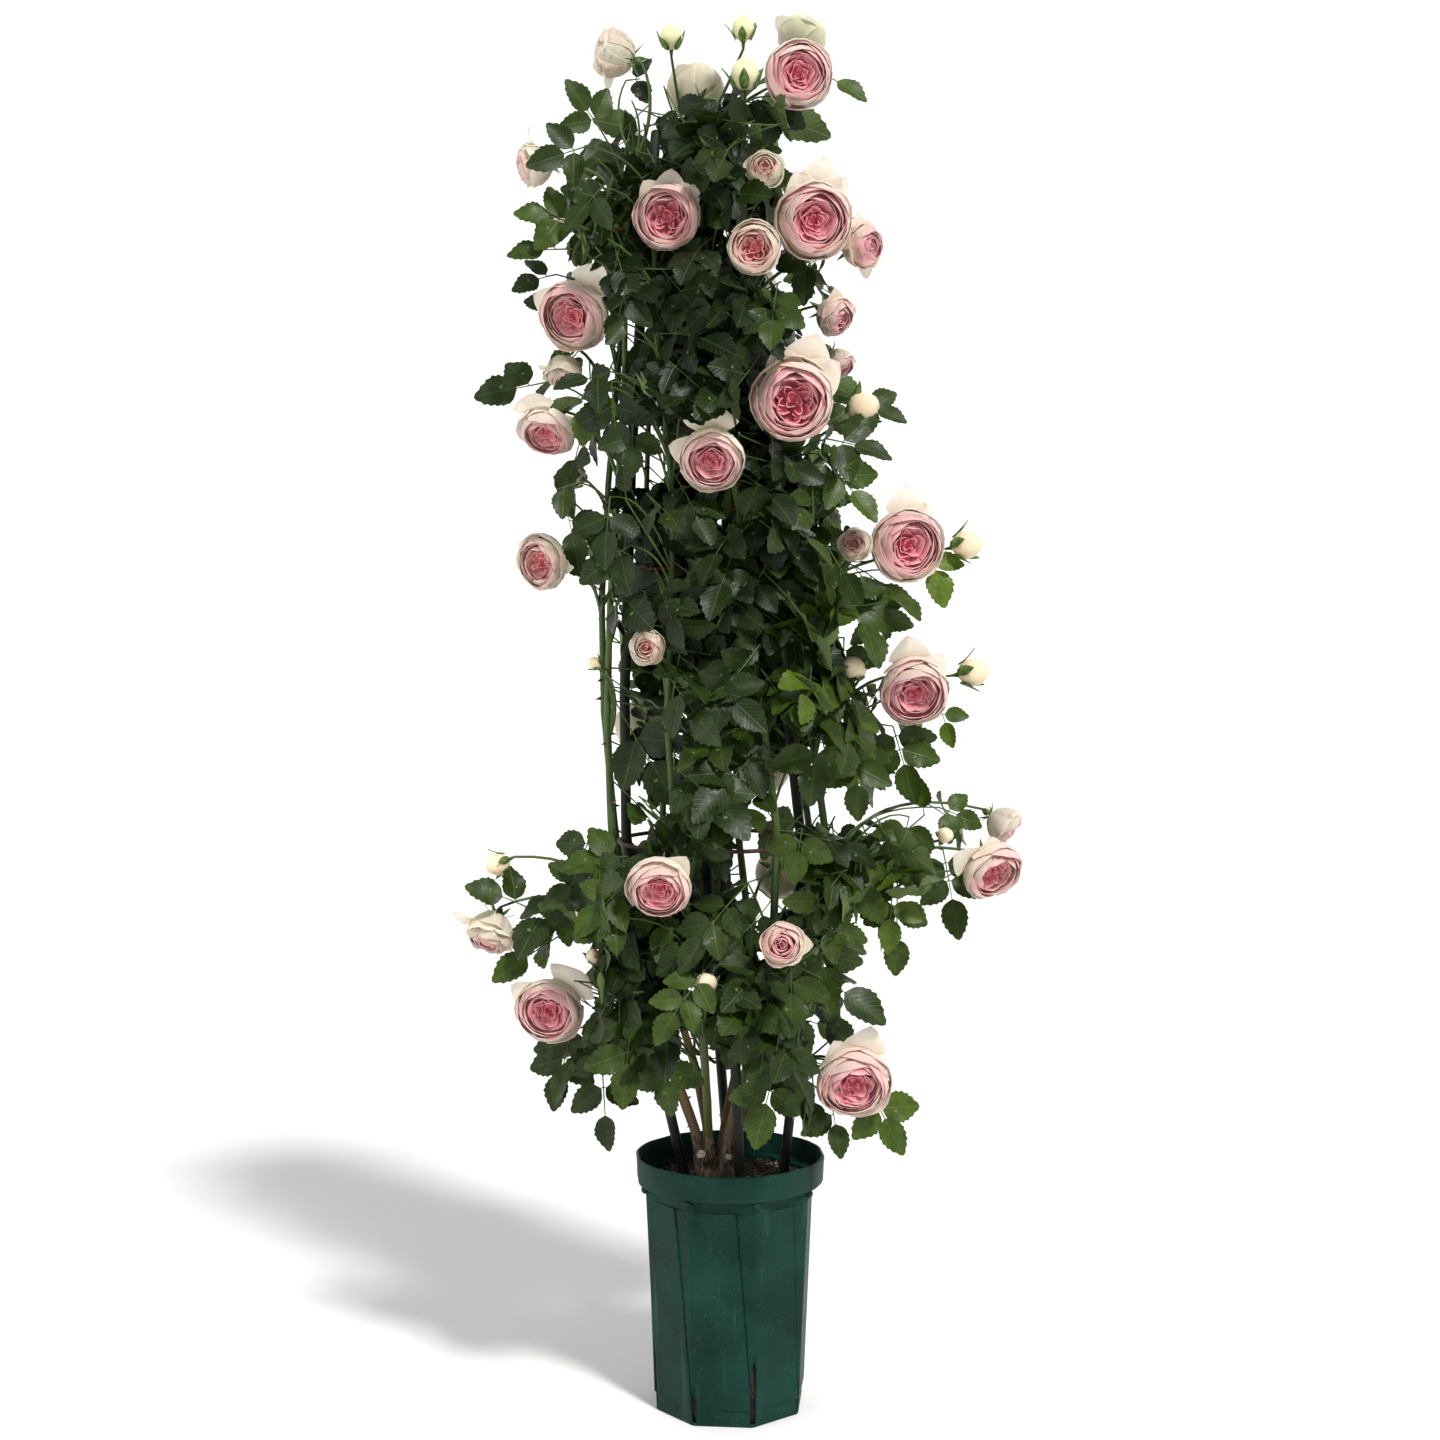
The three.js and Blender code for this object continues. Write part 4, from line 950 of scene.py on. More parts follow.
# centre, diameter, turn, rise, how far open, places of the guard petals, how pink
blooms = [
    ((-146, 0, 1693), 70, -110, 20, 0.6, [], 0.55), ((-43, 40, 1655), 76, -165, 35, 0.8, [], 0.4),
    ((89, 60, 1725), 66, 160, 45, 0.8, [], 0.0), ((83, -45, 1658), 88, 10, -5, 1, [], 1.0),
    ((-247, 0, 1557), 62, -80, -10, 0.6, [0], 0.5), ((-75, -105, 1478), 84, -10, -10, 1, [], 1.0),
    ((41, -90, 1536), 52, 0, 15, 0.5, [], 0.15), ((100, -75, 1478), 100, 14, -10, 1, [10], 1.0),
    ((28, -140, 1436), 70, -8, -5, 0.8, [], 0.4), ((165, -30, 1454), 64, 45, 0, 0.7, [], 1.0),
    ((-192, -45, 1369), 94, -20, -20, 1, [35], 0.9), ((-205, -15, 1300), 54, -15, -75, 0.6, [], 0.5),
    ((128, -55, 1366), 58, 45, -25, 0.6, [], 0.9), ((135, -10, 1312), 48, 50, -50, 0.5, [], 0.9),
    ((74, -140, 1259), 106, 5, -10, 1, [20], 1.0), ((-224, -45, 1227), 76, -15, -45, 0.9, [-15], 0.9),
    ((-22, -165, 1188), 86, -5, -25, 1, [0], 0.9), ((-231, -40, 1068), 76, -35, -10, 0.9, [], 0.6),
    ((216, -65, 1089), 96, 15, -5, 1, [0], 1.0), ((150, -105, 1089), 46, -20, 10, 0.5, [], 0.3),
    ((-98, -165, 969), 48, -10, -10, 0.5, [], 0.3), ((226, -55, 910), 94, 5, -25, 1, [-10], 1.0),
    ((350, 25, 735), 58, 75, -35, 0.6, [], 0.7), ((324, -50, 687), 84, 30, -30, 1, [-70], 0.8),
    ((-84, -185, 685), 84, -5, -25, 1, [], 0.9), ((-299, -30, 604), 70, -30, -55, 0.7, [-40], 0.5),
    ((61, -185, 620), 60, 0, 0, 0.6, [], 0.8), ((-223, -75, 519), 90, -10, -15, 1, [40], 1.0),
    ((149, -120, 438), 98, 5, -20, 1, [15], 1.0), ((45, 190, 800), 82, 172, -10, 1, [], 0.5),
    ((70, 215, 650), 76, 160, -20, 0.9, [], 0.6), ((-120, 175, 850), 76, -155, -10, 1, [], 0.7),
    ((-60, 190, 1090), 88, -172, -15, 1, [20], 0.9), ((60, 175, 1180), 62, 165, 0, 0.6, [], 0.4),
    ((-90, 150, 1330), 84, -160, -10, 1, [], 0.9), ((20, 140, 1420), 92, 172, -15, 1, [], 1.0),
    ((-170, 190, 600), 86, -140, -25, 1, [], 0.8), ((85, 190, 490), 84, 150, -20, 1, [], 0.9),
]
# centre, diameter, turn and rise
buds = [
    ((-72, -25, 1705), 28, 0, 60), ((16, -20, 1716), 28, 0, 70), ((18, -45, 1655), 36, 0, 80),
    ((-199, -40, 1495), 34, -20, 30), ((160, -70, 1253), 40, 30, 20), ((290, -30, 1090), 36, 60, 10),
    ((150, -95, 940), 32, -30, 20), ((301, -10, 932), 36, 70, 10), ((263, -75, 735), 20, 0, 20),
    ((-288, -20, 693), 28, -60, -20), ((-29, -175, 570), 26, 0, 40), ((-167, -100, 590), 18, 0, 50),
    ((-163, -90, 946), 16, -60, 30), ((190, 120, 1010), 30, 110, 20), ((-200, 110, 1180), 30, -120, 20),
]

leaf = {
    "length": 136, "lengthSpread": 28, "caneStep": 245, "shootStep": 150, "lowest": 560,
    "five": {"roots": [0.33, 0.55], "sizes": [0.3, 0.36], "leans": [62, 52], "end": 0.68},
    "three": {"roots": [0.42], "sizes": [0.36], "leans": [52], "end": 0.62},
    "tip": 0.42,
}
hip = {"radius": 5, "length": 10, "gap": 0.35}
# Leaf tones with painted light and shade: core is the base tone, which the dark core keeps; sun is painted
# sunlight that starts 90 mm out from the middle and adds 1 for every 300 mm, up to 0.34; young is painted
# light on the lower right leaves; shade is painted shade on the middle of the core; spread is a random tone.
leafTonesAndPaintedLight = {"core": 0.14, "sun": (90, 300, 0.34), "young": 0.1, "shade": 0.14, "spread": 0.34}
fill = {
    "shootStep": 40, "caneStep": 25, "seed": 77, "backTwigs": 26,
    # the foliage parts into clumps, most a little way in from its rim
    "size": 0.9, "clump": 56, "gaps": 0.1, "gapsAt": 60, "gapsFade": 260, "margin": 14,
    # the rim of the dense foliage; single leaves and sprays stand out of it
    "heights": [330, 369, 406, 456, 519, 581, 650, 706, 744, 769, 794, 831, 856, 919, 950, 981, 1031, 1056,
                1100, 1150, 1188, 1212, 1244, 1290, 1325, 1344, 1406, 1444, 1494, 1556, 1594, 1631, 1662,
                1700],
    "left": [-100, -110, -130, -170, -180, -210, -215, -210, -120, -84, -74, -86, -116, -140, -112, -102,
             -122, -132, -180, -160, -84, -92, -160, -165, -100, -104, -190, -200, -205, -210, -185, -130,
             -84, -50],
    "right": [100, 120, 120, 112, 100, 104, 236, 285, 120, 78, 118, 170, 176, 190, 140, 120, 150, 160, 165,
              130, 130, 130, 124, 120, 108, 106, 100, 104, 120, 84, 56, 60, 60, 40],
}
window = {"left": 2, "right": 92, "low": 615, "high": 840}  # the thin place round the lowest ring
# Gaps in the foliage, as they show to the viewer: middle across and up, half width and half height.
gaps = [(-135, 1192, 56, 42), (-118, 1612, 34, 24), (-132, 1345, 24, 36), (-150, 780, 80, 34),
        (128, 768, 52, 22), (166, 548, 44, 34), (-70, 408, 40, 34), (8, 416, 22, 30), (-190, 1000, 34, 60),
        (36, 700, 30, 34)]
# further gaps, in the small leaves alone
clearings = [(92, 1592, 36, 34), (38, 1612, 18, 20), (98, 1530, 26, 22), (-86, 1690, 60, 26),
             (-50, 786, 26, 16), (-135, 1680, 56, 26), (-113, 1600, 24, 26), (-165, 1324, 30, 24),
             (-190, 1254, 36, 20), (-150, 1184, 50, 32), (-165, 1043, 26, 28), (-168, 960, 24, 56),
             (-140, 832, 56, 34), (-130, 762, 60, 30), (150, 551, 28, 28), (151, 762, 30, 24),
             (-7, 410, 26, 24), (-60, 410, 26, 22), (151, 1254, 22, 20), (-218, 691, 24, 20)]
# the rooms inside the two lower rings and 10 mm round them, 20 mm above and below: across, deep and up
ringRooms = [((-105, 65), (-85, 85), (685, 755)), ((-110, 30), (-70, 70), (1025, 1095))]
viewer = {"distance": 2810, "height": 1053}
# The leaves keep within this outline, as it shows to a viewer in front of the plant.
outline = {
    "heights": [330, 406, 456, 519, 581, 656, 744, 781, 856, 931, 1019, 1081, 1156, 1219, 1256, 1294, 1381,
                1469, 1544, 1594, 1662, 1700, 1770],
    "left": [-190, -240, -245, -270, -290, -300, -250, -110, -130, -165, -170, -240, -252, -250, -290, -300,
             -245, -258, -292, -240, -170, -110, -60],
    "right": [210, 220, 180, 125, 160, 295, 340, 250, 250, 250, 262, 262, 195, 180, 200, 170, 150, 185, 150,
              130, 130, 110, 60],
    "places": [-60, 8, 95],  # the lower edge steps here, from left to right
    "lowest": [352, 455, 400, 345],
    "front": -225,
    "back": 262,
}
# tips of the blind side shoots, which carry leaves alone
twigTips = [
    (-80, -60, 1640), (-105, -40, 1600), (-55, -70, 1560), (-135, -20, 1650), (160, -20, 1640),
    (-30, -60, 1620), (30, -60, 1600), (-240, -20, 1560), (-262, -30, 1515), (-170, -60, 1560),
    (-120, -80, 1590), (-60, -90, 1570), (10, -100, 1570), (60, -90, 1590), (-235, -40, 1440),
    (188, -30, 1470), (-150, -80, 1480), (-10, -120, 1480), (-110, -110, 1420), (60, -120, 1400),
    (-30, -130, 1390), (-270, -30, 1290), (-160, -90, 1320), (-90, -130, 1320), (-20, -140, 1310),
    (40, -140, 1320), (195, -40, 1265), (110, -110, 1300), (-130, -110, 1250), (-60, -150, 1240),
    (10, -150, 1220), (180, -50, 1210), (-245, -40, 1165), (-170, -80, 1190), (-100, -130, 1150),
    (30, -150, 1150), (100, -130, 1170), (160, -80, 1150), (-215, -50, 1060), (-165, -90, 1080),
    (-90, -140, 1060), (-30, -150, 1050), (40, -150, 1060), (110, -120, 1060), (245, -60, 1030),
    (180, -90, 1020), (-160, -90, 940), (-130, -120, 1000), (-60, -150, 960), (40, -140, 980),
    (100, -130, 960), (160, -100, 960), (-150, -100, 870), (-70, -160, 880), (130, -120, 880),
    (230, -60, 850), (190, -90, 800), (110, -130, 780), (-110, -140, 790), (-160, -110, 730),
    (-255, -50, 690), (-215, -80, 650), (-130, -150, 700), (-40, -170, 740), (140, -130, 700),
    (215, -80, 720), (285, -60, 690), (250, -80, 650), (190, -100, 640), (120, -150, 620), (20, -170, 690),
    (-190, -100, 560), (-130, -150, 600), (-70, -170, 630), (-20, -170, 600), (-250, -60, 545),
    (-240, -60, 460), (-180, -110, 450), (-110, -150, 500), (-60, -165, 520), (90, -160, 540),
    (30, -160, 540), (150, -130, 520), (60, -160, 470), (195, -100, 455), (-80, -140, 455), (110, -130, 430),
    (205, -90, 400), (-150, -110, 420),
]
# Leaves that stand out from the rim, seen from the front: where the stalk starts, the way the leaf points
# in degrees from the right, counting upwards, and its length.
rimLeaves = [
    (-128, 1660, 5, 50), (-160, 1600, 125, 58), (-213, 1556, 180, 76), (-178, 1580, 200, 62),
    (-160, 1530, 230, 56), (-196, 1487, 165, 62), (-196, 1455, 182, 68), (-215, 1424, 195, 46),
    (-212, 1396, 230, 50), (-130, 1405, -105, 58), (-120, 1360, 160, 50), (-226, 1292, 192, 78),
    (-150, 1305, 200, 60), (-148, 1292, -85, 82), (-172, 1285, -100, 56), (-122, 1240, -90, 56),
    (-188, 1168, 198, 70), (-205, 1142, -78, 74), (-150, 1150, -95, 74), (-130, 1146, 95, 32),
    (-205, 1085, -95, 54), (-125, 1090, 215, 62), (-247, 632, 153, 78), (-200, 632, 215, 50),
    (-214, 600, 210, 88), (-175, 682, 215, 66), (-172, 732, 245, 66), (-130, 700, 185, 72),
    (-130, 668, 225, 76), (-130, 622, 200, 58), (-200, 478, -104, 94), (-164, 470, -86, 126),
    (-80, 450, -90, 68), (-128, 470, -95, 70), (-140, 520, -90, 80), (58, 1640, -100, 56),
    (122, 1664, -28, 45), (158, 1492, -40, 45), (96, 1462, -95, 62), (160, 1268, -25, 54),
    (120, 1222, -12, 74), (110, 1204, -48, 96), (96, 1178, -70, 80), (140, 1092, 195, 64),
    (120, 1090, -60, 74), (245, 1085, -70, 60), (200, 1060, -25, 54), (172, 1048, -74, 106),
    (142, 975, -92, 60), (204, 864, -74, 88), (262, 890, -72, 46), (140, 905, -95, 72), (108, 850, -95, 72),
    (156, 850, -88, 90), (244, 752, 98, 42), (262, 762, -20, 52), (225, 750, -105, 56), (210, 712, -90, 146),
    (268, 708, -80, 100), (150, 690, -60, 70), (110, 612, -15, 56), (108, 595, -75, 72), (140, 480, 118, 44),
    (184, 420, -40, 45), (178, 400, -62, 74), (128, 388, -80, 62), (86, 480, -92, 76), (46, 480, -100, 72),
    (56, 428, -105, 80), (104, 420, -85, 66), (90, 735, -100, 60), (76, 560, -90, 70), (205, 665, -95, 76),
]


def baseDepth(size, opened):  # how far behind its centre the flat base of a bloom or bud lies
    return size * (0.42 if opened is None else mix(0.62, 0.36, opened))


def caneLine(index):  # its bends, and finer points between them
    _, angle, top = canes[index]
    bends = []
    for z in [z for z in cane["bends"] if z < top - 30] + [top]:
        phase = z / cane["wave"] + index * 2.1
        turn = angle + cane["wobble"] * math.sin(phase)
        outside = spreadAt(z) + cane["standoff"] + cane["bow"] * (1 + math.sin(phase * 0.7 + index))
        t = smooth(clamp((z - 300) / 300, 0, 1))
        point = aroundTrellis(turn, mix(cane["footReach"], outside, t ** 0.8), z)
        point.x += (crown["x"] - middleX(z)) * (1 - t)
        bends.append(point)
    heights = [*range(cane["foot"], top - 12, cane["step"]), top]
    return [pointAtHeight(bends, z) for z in heights], bends


def pointAtHeight(points, z):
    i = 0
    while i < len(points) - 2 and points[i + 1].z <= z:
        i += 1
    t = clamp((z - points[i].z) / (points[i + 1].z - points[i].z), 0, 1)
    return points[i].lerp(points[i + 1], t)


caneLines = [caneLine(index) for index in range(len(canes))]
bendLines = [bends for _, bends in caneLines]


def shootLine(end, away):  # from the cane that passes nearest, out and up, and over
    starts = []
    for line, (_, _, top) in zip(bendLines, canes):
        z = clamp(end.z - shootForm["drop"], shootForm["lowest"], top - shootForm["underTop"])
        starts.append(pointAtHeight(line, z))
    far, index = min(((start - end).length, k) for k, start in enumerate(starts))
    start = starts[index]
    bend = start.lerp(end, shootForm["bendAt"])
    bend += up * shootForm["rise"] * far + away * shootForm["back"] * far
    count = max(8, round(far / shootForm["step"]))
    points = []
    for i in range(count + 1):
        t = i / count
        points.append(start * (1 - t) ** 2 + bend * 2 * t * (1 - t) + end * t * t)
    return index, points


def taper(first, last, count):
    return [mix(first, last, i / (count - 1)) for i in range(count)]


def lineLength(points):
    return sum((b - a).length for a, b in zip(points, points[1:]))


def alongLine(points, t):  # the point there and the way the line goes
    place = clamp(t, 0, 0.999) * (len(points) - 1)
    i = math.floor(place)
    return points[i].lerp(points[i + 1], place - i), (points[i + 1] - points[i]).normalized()


def leafPlace(root, stemAlong, outward, side, random, near=False):  # near a bloom it has three leaflets
    level = stemAlong.cross(up)
    if level.length < 0.2:
        level = Vector((-outward.y, outward.x, 0))
    along = level.normalized() * (side * (0.45 + 0.55 * random()))
    along += outward * (0.25 + 0.45 * random())
    along += stemAlong * 0.15
    along.z -= 0.1 + 0.75 * random()
    along.normalize()
    lookTurn = math.radians(130 * (random() - 0.5))
    normal = Matrix.Rotation(lookTurn, 3, "Z") @ outward
    normal += up * (0.35 + 0.5 * random())
    normal = (normal - along * normal.dot(along)).normalized()
    length = leaf["length"] + leaf["lengthSpread"] * (random() - 0.5)
    return {"root": root, "along": along, "normal": normal, "length": length,
            "plan": leaf["three" if near else "five"], "droop": 0.1 + 0.2 * random()}


def outwardAt(point, rise=0.0):
    return Vector((point.x - middleX(point.z), point.y, rise)).normalized()


unset = {"kind": 0, "radius": 0.0, "age": 0.0, "size": 0.0, "shape": 0, "tint": 0.5, "turn": (0, 0, 0)}


class Plant:  # what one cane carries, collected before its mesh is grown
    def __init__(self):
        self.points, self.edges = [], []
        self.layers = {label: [] for label in unset}

    def addPoint(self, point, **values):
        self.points.append(point * mm)
        for label, value in {**unset, **values}.items():
            self.layers[label].append(value)

    def addLine(self, points, kind, radii, ages=None):
        start = len(self.points)
        for point, radius, age in zip(points, radii, ages or [0.1] * len(points)):
            self.addPoint(point, kind=kind, radius=radius * mm, age=age)
        self.edges += [(start + i, start + i + 1) for i in range(len(points) - 1)]

    def addInstance(self, point, kind, along, normal, size, shape=0, tint=0.5):
        across = normal.cross(along).normalized()
        square = Matrix((along.normalized(), across, along.cross(across).normalized())).transposed()
        self.addPoint(point, kind=kind, turn=tuple(square.to_euler()), size=size * mm, shape=shape, tint=tint)


wood, shootWood, stalk, leaflet, prickle, budKind = range(6)  # kinds of what a cane carries
bloomFaces = [(Vector(at), size, facing(turn, rise)) for at, size, turn, rise, *_ in blooms]


def hidesBloom(point):  # inside a bloom, or close before its face
    for at, size, front in bloomFaces:
        away = point - at
        ahead = away.dot(front)
        if away.length < size * 0.6 or (0 < ahead < 140 and (away - front * ahead).length < size * 0.6):
            return True
        if away.y < 0 and at.y < 100 and math.hypot(away.x, away.z) < size * 0.52:
            return True
    return False


def behindBlooms(points):  # a shoot that would cross the face of a bloom goes round behind it
    moved = [p.copy() for p in points]
    for p in moved[:-1]:
        for at, size, front in bloomFaces:
            away = p - at
            if -170 < away.y < size * 0.4 and math.hypot(away.x, away.z) < size * 0.62 and at.y < 60:
                p.y = at.y + size * 0.5
    for _ in range(3):
        for a, p, b in zip(moved, moved[1:], moved[2:]):
            p.y = mix(p.y, (a.y + b.y) / 2, 0.5)
    return moved


def seen(point):  # where a point shows on the upright plane through the middle of the pot
    nearer = viewer["distance"] / (viewer["distance"] + point.y)
    return point.x * nearer, viewer["height"] + (point.z - viewer["height"]) * nearer


def leavesOutline(point):  # outside the outline of all the leaves
    x, z = seen(point)
    left = alongTable(outline["heights"], outline["left"], z)
    right = alongTable(outline["heights"], outline["right"], z)
    low = outline["lowest"][sum(x > place for place in outline["places"])]
    return x < left or x > right or z < low or not outline["front"] <= point.y <= outline["back"]


def reachesIn(root, tip):  # into the room inside one of the two lower rings
    points = [root.lerp(tip, t) for t in (0.2, 0.4, 0.6, 0.8, 1)]
    return any(all(low < value < high for value, (low, high) in zip(point, room))
               for room in ringRooms for point in points)


def insideRim(point):  # how far inside the rim of the dense foliage
    x, z = seen(point)
    left = alongTable(fill["heights"], fill["left"], z)
    right = alongTable(fill["heights"], fill["right"], z)
    return min(x - left, right - x)


def inGap(point, holes=gaps, grown=1.0):
    x, z = seen(point)
    return any(math.hypot((x - middle) / wide, (z - height) / tall) < grown
               for middle, height, wide, tall in holes)


def betweenClumps(point):
    x, z = seen(point)
    parting = noise.noise(Vector((x, 0, z)) / fill["clump"])
    return parting > fill["gaps"] + abs(insideRim(point) - fill["gapsAt"]) / fill["gapsFade"]


def inWindow(point):
    x, z = seen(point)
    return window["left"] < x < window["right"] and window["low"] < z < window["high"]


def leafTip(place, part=1.05):
    drop = place["normal"] * place["droop"] * place["length"]
    return place["root"] + place["along"] * part * place["length"] - drop


def leafWithin(root, stemAlong, outward, side, random, near=False, filling=False):
    for i in range(8):  # the first of a few leaves whose tip keeps within the outline
        way = outward if i < 4 else -outward
        place = leafPlace(root, stemAlong, way, side if i % 2 == 0 else -side, random, near)
        if filling:
            place["length"] *= fill["size"] - 0.04 * i
            if place["normal"].dot(outward) < 0:
                place["normal"] = -place["normal"]
        tip = leafTip(place)
        middle = root.lerp(tip, 0.55)
        if leavesOutline(tip) or inGap(tip) or inGap(middle):
            continue
        if not filling:
            if reachesIn(root, tip):
                continue
            return place
        across = place["normal"].cross(place["along"]).normalized() * 0.34 * place["length"]
        corners = [tip, middle, middle + across, middle - across]
        if insideRim(tip) < fill["margin"] or betweenClumps(middle):
            continue
        if any(inGap(point, gaps + clearings, 1.25) or insideRim(point) < 0 for point in corners):
            continue
        if not any(inWindow(point) or hidesBloom(point) for point in (middle, tip)):
            return place
    return None


leafMoves = [(0, 0), (18, 0), (-18, 0), (0, 16), (0, -16), (34, 10), (-34, 10), (30, -14), (-30, -14)]


def clearOfBlooms(place):  # turned sideways or tilted until it stands clear
    for turn, tilt in leafMoves:
        along = Quaternion(up, math.radians(turn)) @ place["along"]
        along = Quaternion(up.cross(along).normalized(), math.radians(tilt)) @ along
        normal = Quaternion(up, math.radians(turn)) @ place["normal"]
        normal = (normal - along * normal.dot(along)).normalized()
        other = {**place, "along": along, "normal": normal}
        if not any(hidesBloom(leafTip(other, part)) for part in (0.6, 0.85, 1.05)):
            return other
    return None


def addLeaf(plant, place, random, tint):
    root, along, normal, length, droop = (place[k] for k in ("root", "along", "normal", "length", "droop"))
    plan = place["plan"]
    across = normal.cross(along).normalized()

    def at(u, v=0.0):
        height = -droop * u * u - 0.25 * droop * abs(v)
        return root + (along * u + across * v + normal * height) * length

    end = plan["end"]
    line = [at(end * i / 4) for i in range(5)]
    plant.addLine(line, stalk, taper(1.1, 0.7, len(line)))

    def blade(u, lean, size, side):
        a = math.radians(lean) * side
        direction = along * math.cos(a) + across * math.sin(a)
        direction -= normal * (2 * droop * u * math.cos(a) + 0.25 * droop)
        direction = (direction + up * 0.12 * (random() - 0.6)).normalized()
        roll = math.radians(44 * (random() - 0.5)) + side * math.radians(8)
        face = (normal - direction * normal.dot(direction)).normalized()
        face = Quaternion(direction, roll) @ face
        foot = at(u)
        petiole = 3 if side else 6
        far = foot + direction * size * length
        if hidesBloom(far) or hidesBloom(foot.lerp(far, 0.5)):
            return
        plant.addInstance(foot + direction * petiole, leaflet, direction, face,
                          size * length * (0.92 + 0.2 * random()), math.floor(random() * 3),
                          clamp(tint + 0.16 * (random() - 0.5), 0, 1))
        plant.addLine([foot, foot + direction * (petiole + 1)], stalk, [0.7, 0.6])

    for u, size, lean in zip(plan["roots"], plan["sizes"], plan["leans"]):
        for side in (1, -1):
            blade(u, lean, size * 1.1, side)
    blade(end, 0, plan.get("tip", leaf["tip"]) * 0.98, 0)


def leafToneWithPaintedLight(point, random):  # painted light and shade: the core is painted dark as shade, the outer and lower right leaves are painted a lighter yellow-green as if lit; a random tone goes on top
    reach = Vector((point.x - middleX(point.z), point.y)).length
    start, fade, most = leafTonesAndPaintedLight["sun"]
    # painted sunlight: lighter the further out from the middle
    tone = leafTonesAndPaintedLight["core"] + clamp((reach - start) / fade, 0, most)
    # painted light on the lower right leaves
    if point.x > 60 and point.z < 1150:
        tone += leafTonesAndPaintedLight["young"]
    # painted shade on the middle of the core
    if -150 < point.x < 50 and 1000 < point.z < 1500:
        tone -= leafTonesAndPaintedLight["shade"]
    return clamp(tone + leafTonesAndPaintedLight["spread"] * random() ** 2, 0, 1)


plants = [Plant() for _ in canes]
shoots = []
for at, size, turn, rise, *rest in blooms + [(*bud, None) for bud in buds]:
    opened = rest[0]
    front = facing(turn, rise)
    end = Vector(at) - front * (baseDepth(size, opened) + hip["gap"] + hip["length"])
    index, points = shootLine(end, -front)
    plant = plants[index]
    radii = taper(2.8, 1.7, len(points))
    line = list(points)
    base = end + front * hip["length"]
    if opened is None:
        line += [base - front * 3, base + front * 2]
        radii += [size * 0.09, size * 0.2]
        budTone = 0.0 if at[2] > 1700 else 0.3 if at[2] > 1600 else 0.9  # the topmost are the palest
        top = up.orthogonal() if abs(front.z) > 0.9 else up
        plant.addInstance(base, budKind, front, top, size, 0, budTone)
    else:
        line += [base - front * 7, base - front * 3, base]
        radii += [3.6, hip["radius"], hip["radius"] * 0.8]
    plant.addLine(line, shootWood, radii, [0.12] * len(line))
    shoots.append((index, points))

for index, (line, bends) in enumerate(caneLines):
    random = draws(300 + index)
    thickness = taper(cane["base"], cane["tip"], len(line))
    radii = [radius * (1 + 0.1 * (random() - 0.5)) for radius in thickness]
    old = 0.3 if index in cane["green"] else 1.0
    bark = mix(*cane["barkHeight"], (index * 0.37) % 1)
    ages = [clamp(mix(old, 0.05, (p.z - cane["barkFoot"]) / bark), 0, 1) for p in line]
    plants[index].addLine(line, wood, radii, ages)
    for i in range(1, len(line) - 1):
        for _ in range(2 if random() < cane["prickly"] else 0):
            point, along = alongLine(line, (i + random()) / len(line))
            out = Quaternion(along, 2 * math.pi * random()) @ along.orthogonal().normalized()
            root = point + out * thickness[i] * 0.7
            plants[index].addInstance(root, prickle, out, along, 6 + 4 * random())

leafCount = 0


# hangs a leaf; the last value lowers its tone as painted shade
def hang(index, place, random, paintedShade=0.0):
    global leafCount
    if place is not None:
        addLeaf(plants[index], place, random, leafToneWithPaintedLight(place["root"], random) - paintedShade)
        leafCount += 1


for n, (index, points) in enumerate(shoots):  # the same leaves as the solids
    random, extra = draws(9001 + n * 131), draws(17 + n * 57)
    count = max(1, math.floor(lineLength(points) / leaf["shootStep"] + 0.5))
    for i in range(count):
        point, along = alongLine(points, (i + 0.75) / (count + 0.35))
        side = 1 if (i + n) % 2 == 0 else -1
        place = leafWithin(point, along, outwardAt(point), side, random, i == count - 1)
        hang(index, place and clearOfBlooms(place), extra)
for index, (_, _, top) in enumerate(canes):
    random, extra = draws(501 + index * 77), draws(900 + index)
    side = 1 if index % 2 == 0 else -1
    z = leaf["lowest"] + 20 * (index % 3)
    while z < top - 10:
        point = pointAtHeight(bendLines[index], z)
        place = leafWithin(point, up, outwardAt(point), side, random)
        hang(index, place and clearOfBlooms(place), extra)
        side = -side
        z += leaf["caneStep"]
    tip = bendLines[index][-1]
    place = leafWithin(tip, up, outwardAt(tip, 0.4), side, random)
    hang(index, place and clearOfBlooms(place), extra)
sameLeaves = leafCount

twigTips = [Vector(tip) for tip in twigTips]
placedTwigs = len(twigTips)
random = draws(fill["seed"])
while len(twigTips) < placedTwigs + fill["backTwigs"]:  # more shoots round the sides and the back
    z = mix(430, 1600, random())
    angle = mix(75, 285, random())
    reach = spreadAt(z) + mix(30, 110, random())
    tip = aroundTrellis(angle, min(reach, 205), z)
    if not leavesOutline(tip):
        twigTips.append(tip)
for n, tip in enumerate(twigTips):
    random = draws(4001 + 97 * n)
    index, points = shootLine(tip, -outwardAt(tip))
    count = max(2, round(lineLength(points) / fill["shootStep"]))
    reached = 0
    for i in range(count):
        point, along = alongLine(points, (i + 0.9) / count)
        side = 1 if (i + n) % 2 == 0 else -1
        place = leafWithin(point, along, outwardAt(point), side, random, random() < 0.35, filling=True)
        if place:
            reached = (i + 1) / count
        hang(index, place, random)
    last = math.ceil(reached * (len(points) - 1))  # the twig ends at its last leaf
    if last > 1:
        plants[index].addLine(behindBlooms(points)[:last + 1], shootWood, taper(2.0, 1.0, last + 1))
